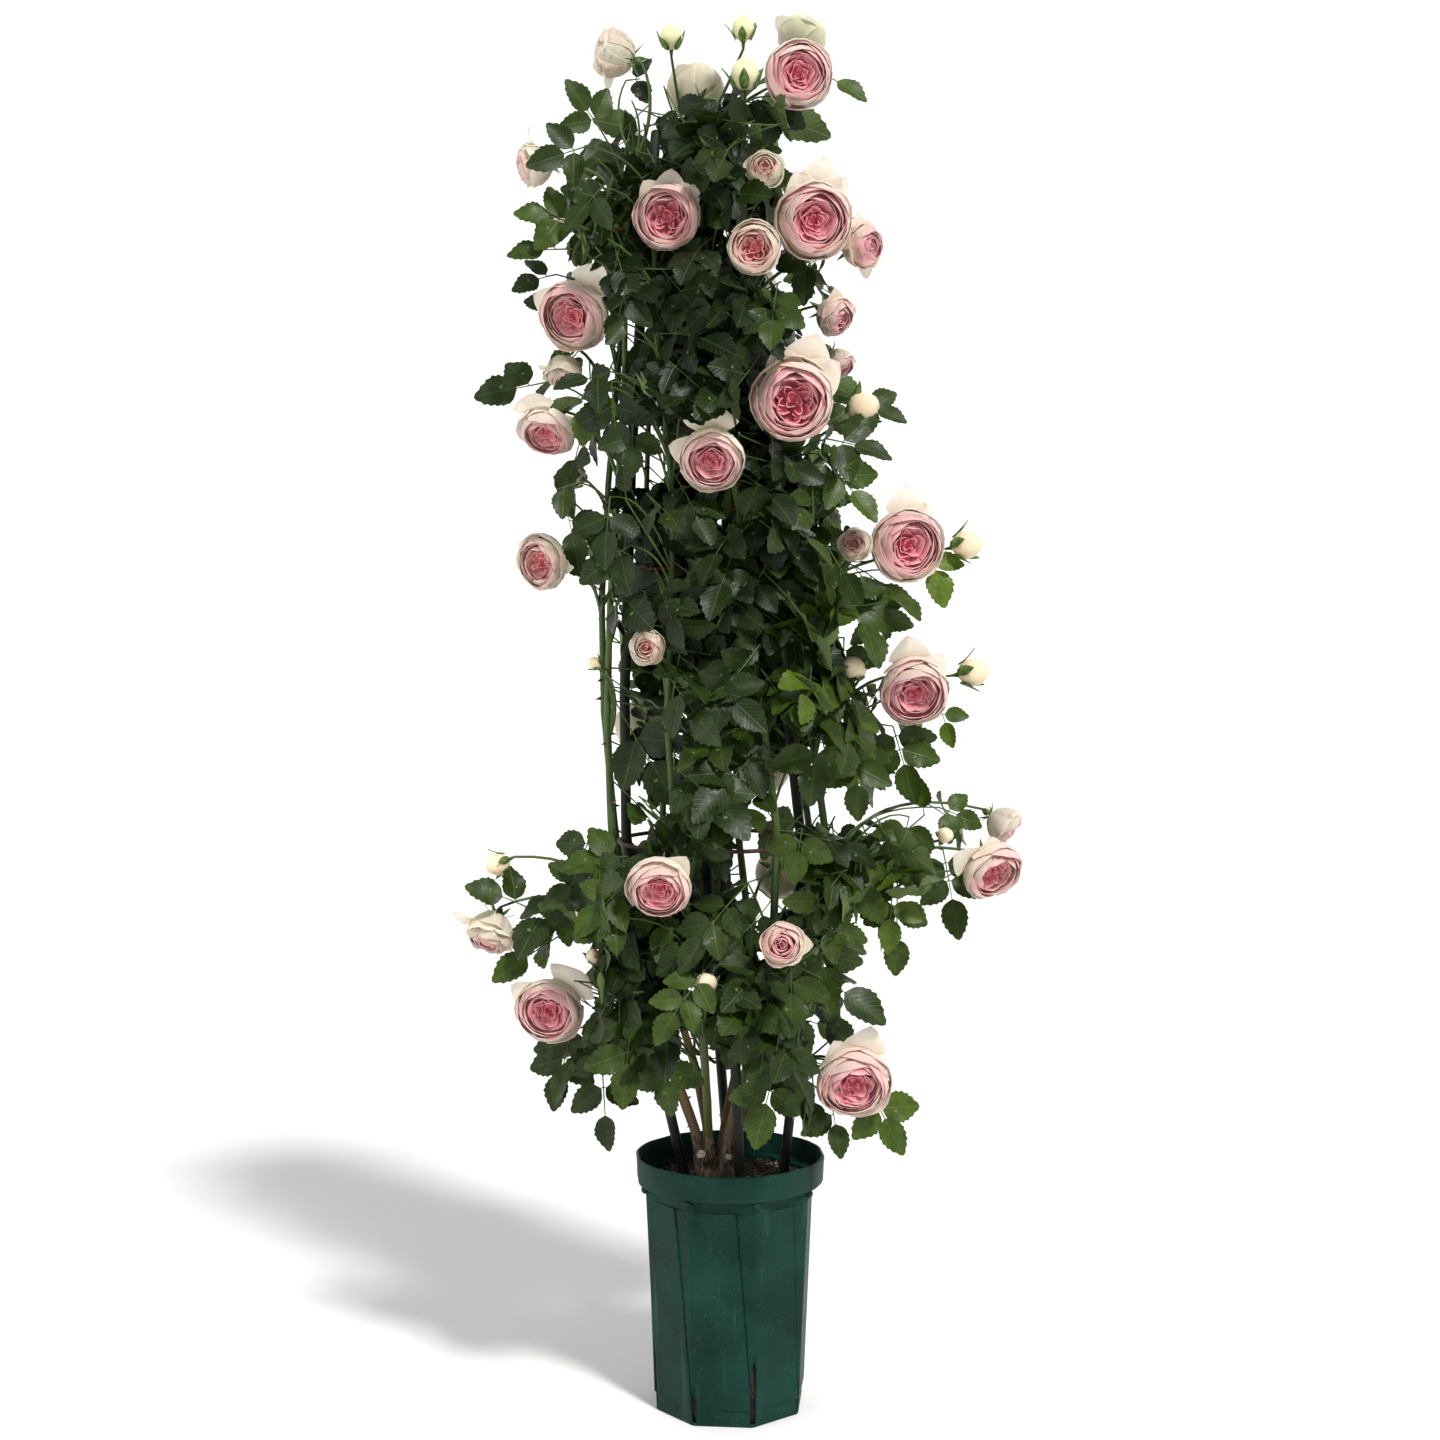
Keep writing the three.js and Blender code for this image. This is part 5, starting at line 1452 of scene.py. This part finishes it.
for n, (acrossSeen, heightSeen, pointing, length) in enumerate(rimLeaves):
    random = draws(7001 + 83 * n)
    aside = (acrossSeen - middleX(heightSeen)) / 270
    depth = -165 * (1 - min(1, aside * aside)) + 40 * (random() - 0.5)
    for at, size, front in bloomFaces:
        x, z = seen(at)
        if at.y < 60 and math.hypot(x - acrossSeen, z - heightSeen) < size * 0.66:
            depth = at.y + size * 0.35
    nearer = (viewer["distance"] + depth) / viewer["distance"]
    root = Vector((acrossSeen * nearer, depth, viewer["height"] + (heightSeen - viewer["height"]) * nearer))
    a = math.radians(pointing)
    along = Vector((math.cos(a), -0.1 - 0.25 * random(), math.sin(a))).normalized()
    normal = Vector((0.5 * (random() - 0.5), -1, 0.3 + 0.4 * random()))
    normal = (normal - along * normal.dot(along)).normalized()
    index, points = shootLine(root, -along)
    plants[index].addLine(behindBlooms(points), shootWood, taper(1.9, 1.0, len(points)))
    alone = length <= 45  # one leaflet, then three, then five
    each = min(0.9 if alone else 0.66, mix(40, 48, random()) / length)
    roots = [] if alone else [0.7] if length <= 84 else [0.28, 0.68]
    plan = {"roots": [place * (1 - each) for place in roots], "sizes": [each * 0.92] * 2, "leans": [66, 60],
            "end": 1 - each, "tip": each * 1.08}
    place = {"root": root, "along": along, "normal": normal, "length": length * 1.04,
             "droop": 0.12 * random(), "plan": plan}
    hang(index, place, random)
for n, (index, points) in enumerate(shoots):  # and the leaves between those of the solids
    random = draws(fill["seed"] + n * 211)
    count = math.floor(lineLength(points) / fill["shootStep"])
    for i in range(count):
        point, along = alongLine(points, (i + random()) / (count + 0.6))
        side = 1 if random() < 0.5 else -1
        place = leafWithin(point, along, outwardAt(point), side, random, random() < 0.4, filling=True)
        hang(index, place, random)
for index, (_, _, top) in enumerate(canes):
    random = draws(fill["seed"] * 3 + index * 71)
    z = 540 + 60 * random()
    while z < top - 6:
        point = pointAtHeight(bendLines[index], z)
        inner = random() < 0.5 and z > 850  # some leaves point into the trellis
        outward = Quaternion(up, math.radians((360 if inner else 130) * (random() - 0.5))) @ outwardAt(point)
        side = 1 if random() < 0.5 else -1
        # the leaves set along the canes, inside the foliage, get 0.08 of painted shade
        hang(index, leafWithin(point, up, outward, side, random, filling=True), random, 0.08)
        z += fill["caneStep"] * (0.7 + 0.6 * random())
print("leaves placed:", sameLeaves, "as in the solids,", leafCount, "in all")


def leafletTemplate(name, fold, droop, wave, width, rows=7):
    # length 1 along X from the stalk's end, the midrib on Y = 0, the upper face towards +Z
    points, uvs = [], []

    def halfWidth(x):
        return 2.74 * width * x ** 0.6 * (1 - x) ** 0.9

    def add(x, y):
        z = fold * abs(y) - droop * x * x + wave * math.sin(9 * x + 3) * abs(y)
        points.append(Vector((x, y, z)))
        uvs.append((x, y / width))
        return len(points) - 1

    foot, tip = add(0, 0), add(1, 0)
    rib = [foot] + [add(i / rows, 0) for i in range(1, rows)] + [tip]
    faces, rim = [], []
    for side in (1, -1):
        middle = [foot] + [add(i / rows, side * 0.52 * halfWidth(i / rows)) for i in range(1, rows)] + [tip]
        edge = [foot]
        for i in range(1, 2 * rows):
            x = i / (2 * rows)
            tooth = 1.05 if i % 2 else 0.95
            edge.append(add(x + (0.02 if i % 2 else -0.01), side * halfWidth(x) * tooth))
        edge.append(tip)
        rim += list(zip(edge, edge[1:]))
        for i in range(rows):
            a, b, c, d = rib[i], rib[i + 1], middle[i + 1], middle[i]
            e, f, g = edge[2 * i], edge[2 * i + 1], edge[2 * i + 2]
            band = [[a, b, c, d], [d, c, f], [d, f, e], [c, g, f]]
            for face in band:
                face = [v for k, v in enumerate(face) if v not in face[:k]]
                if len(face) > 2:
                    faces.append(face if side > 0 else face[::-1])
    return closedBlade(name, points, faces, rim, uvs, 0.011)


def closedBlade(name, points, faces, rim, uvs, thickness):  # the under face is set back; both share the rim
    shared = {v for edge in rim for v in edge}
    under = {}
    allPoints = list(points)
    for v, point in enumerate(points):
        if v in shared:
            under[v] = v
        else:
            under[v] = len(allPoints)
            allPoints.append(point - Vector((0, 0, thickness)))
    lower = [[under[v] for v in reversed(face)] for face in faces]
    mesh = makeMesh(name, allPoints, faces + lower)
    back = {new: old for old, new in under.items()}
    layer = mesh.uv_layers.new(name="blade")
    for loop in mesh.loops:
        v = loop.vertex_index
        layer.data[loop.index].uv = uvs[v if v < len(uvs) else back[v]]
    setValues(mesh, "underside", [0.0] * len(faces) + [1.0] * len(lower), domain="FACE")
    rimEdges = {tuple(sorted(edge)) for edge in rim}
    for edge in mesh.edges:
        edge.use_edge_sharp = tuple(sorted(edge.vertices)) in rimEdges
    return makeObject(name, mesh)


def prickleTemplate():  # a flat-footed hooked cone, length 1 along X, hooked towards -Z
    sides, points = 6, []
    for x, r, drop in [(0.0, 0.34, 0.0), (0.35, 0.2, 0.02), (0.75, 0.08, 0.12)]:
        for k in range(sides):
            a = 2 * math.pi * k / sides
            points.append((x, r * 0.5 * math.cos(a), r * math.sin(a) - drop))
    points.append((1, 0, -0.24))
    faces = loftFaces(sides, 3, False)
    faces.append(tuple(range(sides - 1, -1, -1)))
    faces += [(2 * sides + k, 2 * sides + (k + 1) % sides, 3 * sides) for k in range(sides)]
    return makeObject("prickle", makeMesh("prickle", points, faces))


def sepalSheet(points, faces, root, along, out, length, width, curl):  # a thin closed strip that curls out
    across = along.cross(out).normalized()
    rows = 5
    start = len(points)
    for i in range(rows + 1):
        t = i / rows
        half = width * math.sin(math.pi * (0.18 + 0.8 * t)) * 0.5
        middle = root + along * length * t + out * length * curl * t * t
        for s in (-1, 0, 1):
            points.append(middle + across * half * s + out * (0.05 * width if s == 0 else 0))
        points.append(middle - out * 0.12 * width)
    for i in range(rows):
        a = start + 4 * i
        b = a + 4
        faces += [(a, a + 1, b + 1, b), (a + 1, a + 2, b + 2, b + 1), (a + 2, a + 3, b + 3, b + 2),
                  (a + 3, a, b, b + 3)]
    faces += [(start + 3, start + 2, start + 1, start), tuple(start + 4 * rows + k for k in (0, 1, 2, 3))]


def budTemplate():  # diameter 1, looking along X from its base at 0
    sides, points = 15, []
    profile = [(0.0, 0.2), (0.1, 0.34), (0.3, 0.46), (0.5, 0.5), (0.72, 0.44), (0.92, 0.3), (1.06, 0.12)]
    for i, (x, r) in enumerate(profile):
        for k in range(sides):
            a = 2 * math.pi * k / sides + 0.25 * i
            wrap = 1 + 0.07 * ((k % 5) / 5 - 0.4)  # petals wrapped over each other
            points.append(Vector((x, r * wrap * math.cos(a), r * wrap * math.sin(a))))
    points.append(Vector((1.12, 0, 0)))
    faces = loftFaces(sides, len(profile), False)
    faces.append(tuple(range(sides - 1, -1, -1)))
    last = (len(profile) - 1) * sides
    faces += [(last + k, last + (k + 1) % sides, len(points) - 1) for k in range(sides)]
    petals = len(faces)
    for k in range(5):
        a = 2 * math.pi * k / 5 + 0.4
        out = Vector((0, math.cos(a), math.sin(a)))
        along = (Vector((1, 0, 0)) + out * 0.34).normalized()
        root = Vector((0.02, 0, 0)) + out * 0.36
        sepalSheet(points, faces, root, along, out, 0.72, 0.36, 0.34 if k % 2 else 0.1)
    mesh = makeMesh("bud", points, faces)
    mesh.materials.append(materials["petalSkin"])
    mesh.materials.append(materials["sepalSkin"])
    for face in mesh.polygons:
        face.material_index = 0 if face.index < petals else 1
    setAll(mesh, heart=0.24)
    setValues(mesh, "reach", [0.55 + 0.3 * clamp(p.x, 0, 1) for p in points])
    return makeObject("bud", mesh)


# name, fold along the midrib, droop of the tip, wave of the edge, half width
leafletForms = [("leaflet_a", 0.22, 0.1, 0.1, 0.34), ("leaflet_b", 0.1, 0.2, 0.16, 0.37),
                ("leaflet_c", 0.3, 0.02, 0.07, 0.32)]
leafletShapes = [leafletTemplate(*form) for form in leafletForms]
prickleShape, budShape = prickleTemplate(), budTemplate()


def caneTree():
    tree, entry = newTree("leafyCane", [
        ("Cane sides", "NodeSocketInt", 10), ("Shoot sides", "NodeSocketInt", 7),
        ("Stalk sides", "NodeSocketInt", 4)])
    source = entry["Geometry"]
    parts = []
    for kind, label in ((wood, "Cane sides"), (shootWood, "Shoot sides"), (stalk, "Stalk sides")):
        parts.append(sweep(tree, source, entry[label], Selection=isKind(tree, "kind", kind)))
    turn = addNode(tree, "FunctionNodeEulerToRotation", {0: named(tree, "turn", "FLOAT_VECTOR")}).outputs[0]
    size = named(tree, "size")

    def scatter(template, chosen):
        parts.append(copies(tree, source, template, Selection=chosen, Rotation=turn, Scale=size))

    for k, template in enumerate(leafletShapes):
        sockets = {0: isKind(tree, "kind", leaflet), 1: isKind(tree, "shape", k)}
        scatter(template, addNode(tree, "FunctionNodeBooleanMath", sockets, operation="AND").outputs[0])
    scatter(prickleShape, isKind(tree, "kind", prickle))
    scatter(budShape, isKind(tree, "kind", budKind))
    stems = compare(tree, named(tree, "kind"), "LESS_THAN", stalk + 0.5)
    endTree(tree, parts, [
        (materials["caneSkin"], stems), (materials["leafBlade"], isKind(tree, "kind", leaflet)),
        (materials["pricklesHorn"], isKind(tree, "kind", prickle))])
    return tree


leafyTree = caneTree()
total = 0
for (name, _, _), plant in zip(canes, plants):
    mesh = makeMesh(f"{name}_leafy", plant.points, [], plant.edges)
    for label, values in plant.layers.items():
        setValues(mesh, label, values, "FLOAT_VECTOR" if label == "turn" else "FLOAT")
    thing = makeObject(f"{name}_leafy", mesh)
    grow(thing, leafyTree, {"Cane sides": cane["sides"]})
    layers = thing.data.attributes
    for label in ("turn", "size", "shape", "radius"):
        if label in layers:
            layers.remove(layers[label])
    finishPiece(thing, "leafy_cane", name)
    total += triangles(thing.data)
removeAll([*leafletShapes, prickleShape, budShape])
crownPiece = makeCrown([line for line, _ in caneLines])
finishPiece(crownPiece, "crown", "crown")
print("leafy canes made:", total, "triangles; crown:", triangles(crownPiece.data))


# blooms

# One petal of a bloom that has radius 1 and looks along Z. It rises from its foot through the radii and
# heights of its profile, in hundredths, and spans an angle on each side of X round an axis at center.
def petalTemplate(name, profile, span, heart, center, cols, rows, ruffle, roundness=0.2, corner=2.5):
    grid, reach = [], []
    stops = [i / (len(profile) - 1) for i in range(len(profile))]
    radii, heights = zip(*[(r / 100, z / 100) for r, z in profile])
    for i in range(rows + 1):
        for j in range(cols + 1):
            s = 2 * j / cols - 1
            t = i / rows
            t *= 1 - roundness * abs(s) ** corner * (0.3 + 0.7 * t)
            r = alongTable(stops, radii, t)
            z = alongTable(stops, heights, t)
            wide = span * (0.45 + 0.55 * math.sin(math.pi / 2 * min(1, 1.4 * t)))
            a = math.radians(wide) * s
            z += ruffle * math.sin(5.3 * s + 3 * heart) * t * t
            r += ruffle * 0.8 * math.cos(4.1 * s + 7 * heart) * t * t
            foot = center * smooth(min(1, 0.35 + t))
            grid.append(Vector((foot + r * math.cos(a), r * math.sin(a), z)))
            reach.append(t)
    width = cols + 1
    faces = [(i * width + j, i * width + j + 1, (i + 1) * width + j + 1, (i + 1) * width + j)
             for i in range(rows) for j in range(cols)]
    mesh = makeMesh(name, grid, faces)
    layer = mesh.uv_layers.new(name="blade")
    for loop in mesh.loops:
        v = loop.vertex_index
        layer.data[loop.index].uv = (reach[v], (v % width) / cols)
    setValues(mesh, "reach", reach)
    shape = bmesh.new()
    shape.from_mesh(mesh)
    bmesh.ops.recalc_face_normals(shape, faces=shape.faces)
    bmesh.ops.solidify(shape, geom=shape.faces[:], thickness=0.013)
    bmesh.ops.recalc_face_normals(shape, faces=shape.faces)
    shape.to_mesh(mesh)
    shape.free()
    mesh.shade_smooth()
    mesh.set_sharp_from_angle(angle=math.radians(60))
    setAll(mesh, heart=heart, sepal=0.0)
    return makeObject(name, mesh)


# Whorls of a bloom from the outside in: petals in the whorl, turn of the first, profile of radius and height
# from foot to rim, span in degrees, heart colour, centre, and columns, rows and ruffle of the sheet.
outerWhorls = [
    (5, 10, [(12, -66), (66, -60), (98, -30), (106, 0), (103, 17)], 50, 0.03, 0, (6, 5, 0.05)),
    (5, 46, [(12, -62), (62, -54), (94, -22), (100, 8), (87, 30)], 52, 0.1, 0, (6, 5, 0.025)),
    (5, 5, [(12, -58), (56, -48), (88, -12), (92, 14), (76, 35)], 54, 0.22, 0, (6, 5, 0.02)),
    (5, 28, [(10, -52), (48, -38), (76, -4), (80, 16), (67, 34)], 52, 0.38, 0, (6, 4, 0.03)),
    (6, 0, [(10, -46), (38, -30), (60, 0), (66, 15), (58, 30)], 44, 0.52, 0, (5, 4, 0.035)),
]
# a heart in folded quarters, and one in rings round its own middle
quarteredWhorls = outerWhorls + [
    (5, 12, [(10, -42), (30, -20), (33, 8), (36, 18)], 78, 0.66, 0.22, (7, 3, 0.06)),
    (4, 44, [(8, -36), (20, -16), (22, 5), (24, 14)], 92, 0.78, 0.26, (7, 3, 0.05)),
    (4, 20, [(5, -32), (12, -14), (12, 3), (13, 11)], 98, 0.88, 0.27, (7, 3, 0.04)),
    (3, 15, [(4, -32), (15, -18), (18, -4), (17, 6)], 66, 0.92, 0.03, (6, 3, 0.06)),
    (2, 80, [(3, -30), (7, -18), (9, -6), (7, 2)], 70, 0.96, 0.05, (5, 3, 0.03)),
]
ringedWhorls = outerWhorls + [
    (6, 26, [(10, -44), (32, -26), (43, 0), (50, 14), (56, 20)], 44, 0.62, 0.02, (5, 4, 0.04)),
    (5, 50, [(9, -42), (26, -24), (35, 0), (40, 10), (44, 15)], 52, 0.72, 0.05, (6, 3, 0.05)),
    (5, 0, [(8, -40), (18, -22), (25, -2), (29, 7), (32, 11)], 54, 0.8, 0.07, (6, 3, 0.05)),
    (4, 30, [(6, -38), (12, -20), (16, -4), (19, 4), (20, 7)], 66, 0.88, 0.08, (6, 3, 0.04)),
    (3, 10, [(4, -36), (6, -20), (8, -6), (9, 1), (8, 4)], 84, 0.96, 0.08, (6, 3, 0.03)),
]
youngWhorls = [
    (5, 10, [(14, -102), (60, -82), (90, -40), (96, 0), (104, 16)], 46, 0.05, 0, (6, 5, 0.06)),
    (5, 46, [(14, -98), (58, -76), (87, -32), (92, 10), (76, 40)], 50, 0.1, 0, (6, 5, 0.04)),
    (5, 20, [(12, -90), (54, -64), (80, -16), (82, 22), (62, 48)], 52, 0.2, 0, (6, 4, 0.035)),
    (4, 58, [(10, -80), (46, -42), (68, 0), (68, 28), (50, 50)], 60, 0.36, 0, (6, 4, 0.03)),
    (4, 30, [(10, -70), (36, -20), (50, 10), (50, 34), (40, 47)], 62, 0.56, 0, (6, 4, 0.035)),
    (4, 70, [(8, -50), (28, 0), (36, 20), (36, 36), (30, 44)], 62, 0.72, 0, (6, 4, 0.03)),
    (3, 0, [(6, -30), (20, 10), (26, 26), (22, 41)], 80, 0.86, 0.02, (6, 3, 0.03)),
    (3, 60, [(4, -20), (12, 10), (15, 26), (12, 38)], 84, 0.94, 0.03, (6, 3, 0.03)),
    (2, 20, [(2, -10), (5, 10), (7, 26), (5, 36)], 96, 1.0, 0.03, (5, 3, 0.02)),
]
guardShapes = [
    petalTemplate("petalGuard", [(30, -48), (80, -38), (114, -20), (142, -18), (168, -28)], 33,
                  0.02, 0, 8, 6, 0.05, 0.44, 1.15),
    petalTemplate("petalGuardWide", [(30, -48), (80, -38), (112, -20), (136, -16), (156, -26)], 36,
                  0.02, 0, 8, 6, 0.06, 0.12, 3),
]


def sepalTemplate():
    points, faces = [], []
    out = Vector((1, 0, -0.25)).normalized()
    sepalSheet(points, faces, Vector((0.08, 0, 0)), out, Vector((0, 0, -1)), 0.62, 0.2, 0.35)
    mesh = makeMesh("sepal", points, faces)
    setAll(mesh, sepal=1.0)
    return makeObject("sepal", mesh)


def heartTemplate():  # the closed bottom of the flower cup, under the innermost petals
    shape = bmesh.new()
    bmesh.ops.create_icosphere(shape, subdivisions=2, radius=0.24)
    bmesh.ops.scale(shape, vec=(1, 1, 0.5), verts=shape.verts)
    bmesh.ops.translate(shape, vec=(0.02, 0, -0.3), verts=shape.verts)
    thing = fromShape("heart", shape)
    thing.data.shade_smooth()
    # its reach of 0.3 gives it nearly the full painted fold shade of the petal skin
    setAll(thing.data, heart=1.0, reach=0.3, sepal=0.0)
    return thing


sepalShape, heartShape = sepalTemplate(), heartTemplate()


def bloomTree(name, whorls):
    tree, entry = newTree(name, [
        ("Seed", "NodeSocketInt", 1), ("Looseness", "NodeSocketFloat", 7.0),
        ("Sepal depth", "NodeSocketFloat", -0.7)])
    loose = maths(tree, "MULTIPLY", entry["Looseness"], math.radians(1))
    less = maths(tree, "MULTIPLY", loose, -1.0)
    parts, templates = [], []

    def whorl(template, count, first, salt, height=None, steady=1.0):
        points = addNode(tree, "GeometryNodePoints", {"Count": count}).outputs[0]
        seed = maths(tree, "ADD", entry["Seed"], float(salt))
        number = addNode(tree, "GeometryNodeInputIndex").outputs[0]
        step = addNode(tree, "ShaderNodeMath", {0: number, 1: 2 * math.pi / count, 2: math.radians(first)},
                       operation="MULTIPLY_ADD").outputs[0]
        shake = []
        for k in range(3):
            shifted = maths(tree, "ADD", seed, 1000.0 * (k + 1))
            shake.append(maths(tree, "MULTIPLY", randomAt(tree, less, loose, shifted), steady))
        turn = vector(tree, shake[0], shake[1], maths(tree, "ADD", step, shake[2]))
        placed = copies(tree, points, template, Rotation=turn, Scale=randomAt(tree, 0.93, 1.05, seed))
        if height is not None:
            placed = addNode(tree, "GeometryNodeTranslateInstances", {
                "Instances": placed, "Translation": vector(tree, z=height), "Local Space": False}).outputs[0]
        parts.append(tinted(tree, placed, seed))

    for k, (count, first, profile, span, heart, center, sheet) in enumerate(whorls):
        template = petalTemplate(f"{name}{k}", profile, span, heart, center, *sheet)
        templates.append(template)
        whorl(template, count, first, 10 * k, None, 1.0 if heart < 0.7 else 1.9)
    whorl(sepalShape, 5, 0, 333, entry["Sepal depth"])
    whorl(heartShape, 1, 0, 555)
    turn = vector(tree, z=named(tree, "guardTurn"))
    for k, template in enumerate(guardShapes):
        parts.append(copies(tree, entry["Geometry"], template, Selection=isKind(tree, "guardKind", k),
                            Rotation=turn, Scale=named(tree, "guardSize")))
    endTree(tree, parts, [(materials["petalSkin"], None), (materials["sepalSkin"], isKind(tree, "sepal", 1))])
    return tree, templates


bloomTrees = [bloomTree(name, whorls) for name, whorls in (
    ("ringedBloom", ringedWhorls), ("quarteredBloom", quarteredWhorls), ("youngBloom", youngWhorls))]
bloomFit = 0.9  # the rims of the outermost petals flare out past radius 1
wideGuards = [16, 17, 25, 28]
# smaller petals that have bent back too, by the number of the bloom
smallGuards = {1: [190], 2: [40], 3: [-35, 30], 5: [-50], 6: [-35, 5, 45], 8: [-22, 38], 10: [165, -10],
               11: [-65], 12: [-60], 13: [-20], 15: [-16, 52], 16: [75], 17: [-75], 18: [-60, 85], 19: [30],
               22: [35], 24: [-20], 25: [40], 26: [30], 27: [95], 28: [-60], 29: [-25], 32: [-30], 36: [-20]}
total = 0
for k, (at, size, turn, rise, opened, guards, blush) in enumerate(blooms):
    front = facing(turn, rise)
    top = up - front * front.z
    if top.length < 0.2:
        top = Vector((0, 1, 0)) - front * front.y
    top.normalize()
    right = front.cross(top)  # seen from the front this is the left-hand side, as angles run clockwise
    name = f"rose_{k + 1:02d}"
    small = smallGuards.get(k + 1, [])
    mesh = makeMesh(name, [(0, 0, 0)] * len(guards + small), [])
    setValues(mesh, "guardTurn", [math.radians(-place) for place in guards + small])
    setValues(mesh, "guardKind", [float(k + 1 in wideGuards)] * len(guards) + [0.0] * len(small))
    smallSizes = [0.86 if i % 2 else 0.8 for i in range(len(small))]
    setValues(mesh, "guardSize", [1.0] * len(guards) + smallSizes)
    thing = makeObject(name, mesh)
    young = opened < 0.75
    tree, _ = bloomTrees[2 if young else k * 5 % 3 % 2]
    grow(thing, tree, {
        "Seed": 31 * (k + 1), "Looseness": 6.5 if young else 7, "Sepal depth": -2 * baseDepth(1, opened)})
    # the petal frame's X is the bloom's top, its Z the way it looks
    frameTurn = Matrix((top, right, front)).transposed().to_4x4()
    scale = size / 2 * mm * bloomFit
    thing.data.transform(Matrix.Translation(Vector(at) * mm) @ frameTurn @ Matrix.Scale(scale, 4))
    setAll(thing.data, blush=blush)
    finishPiece(thing, "petals", f"bloom_{k + 1:02d}")
    total += triangles(thing.data)
petalShapes = [shape for _, shapes in bloomTrees for shape in shapes]
removeAll([*petalShapes, *guardShapes, sepalShape, heartShape])
print("blooms made:", len(blooms), "with", total, "triangles")

sizes = {"cad": [list(corner) for corner in cadBox], "visual": [list(corner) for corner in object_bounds()]}
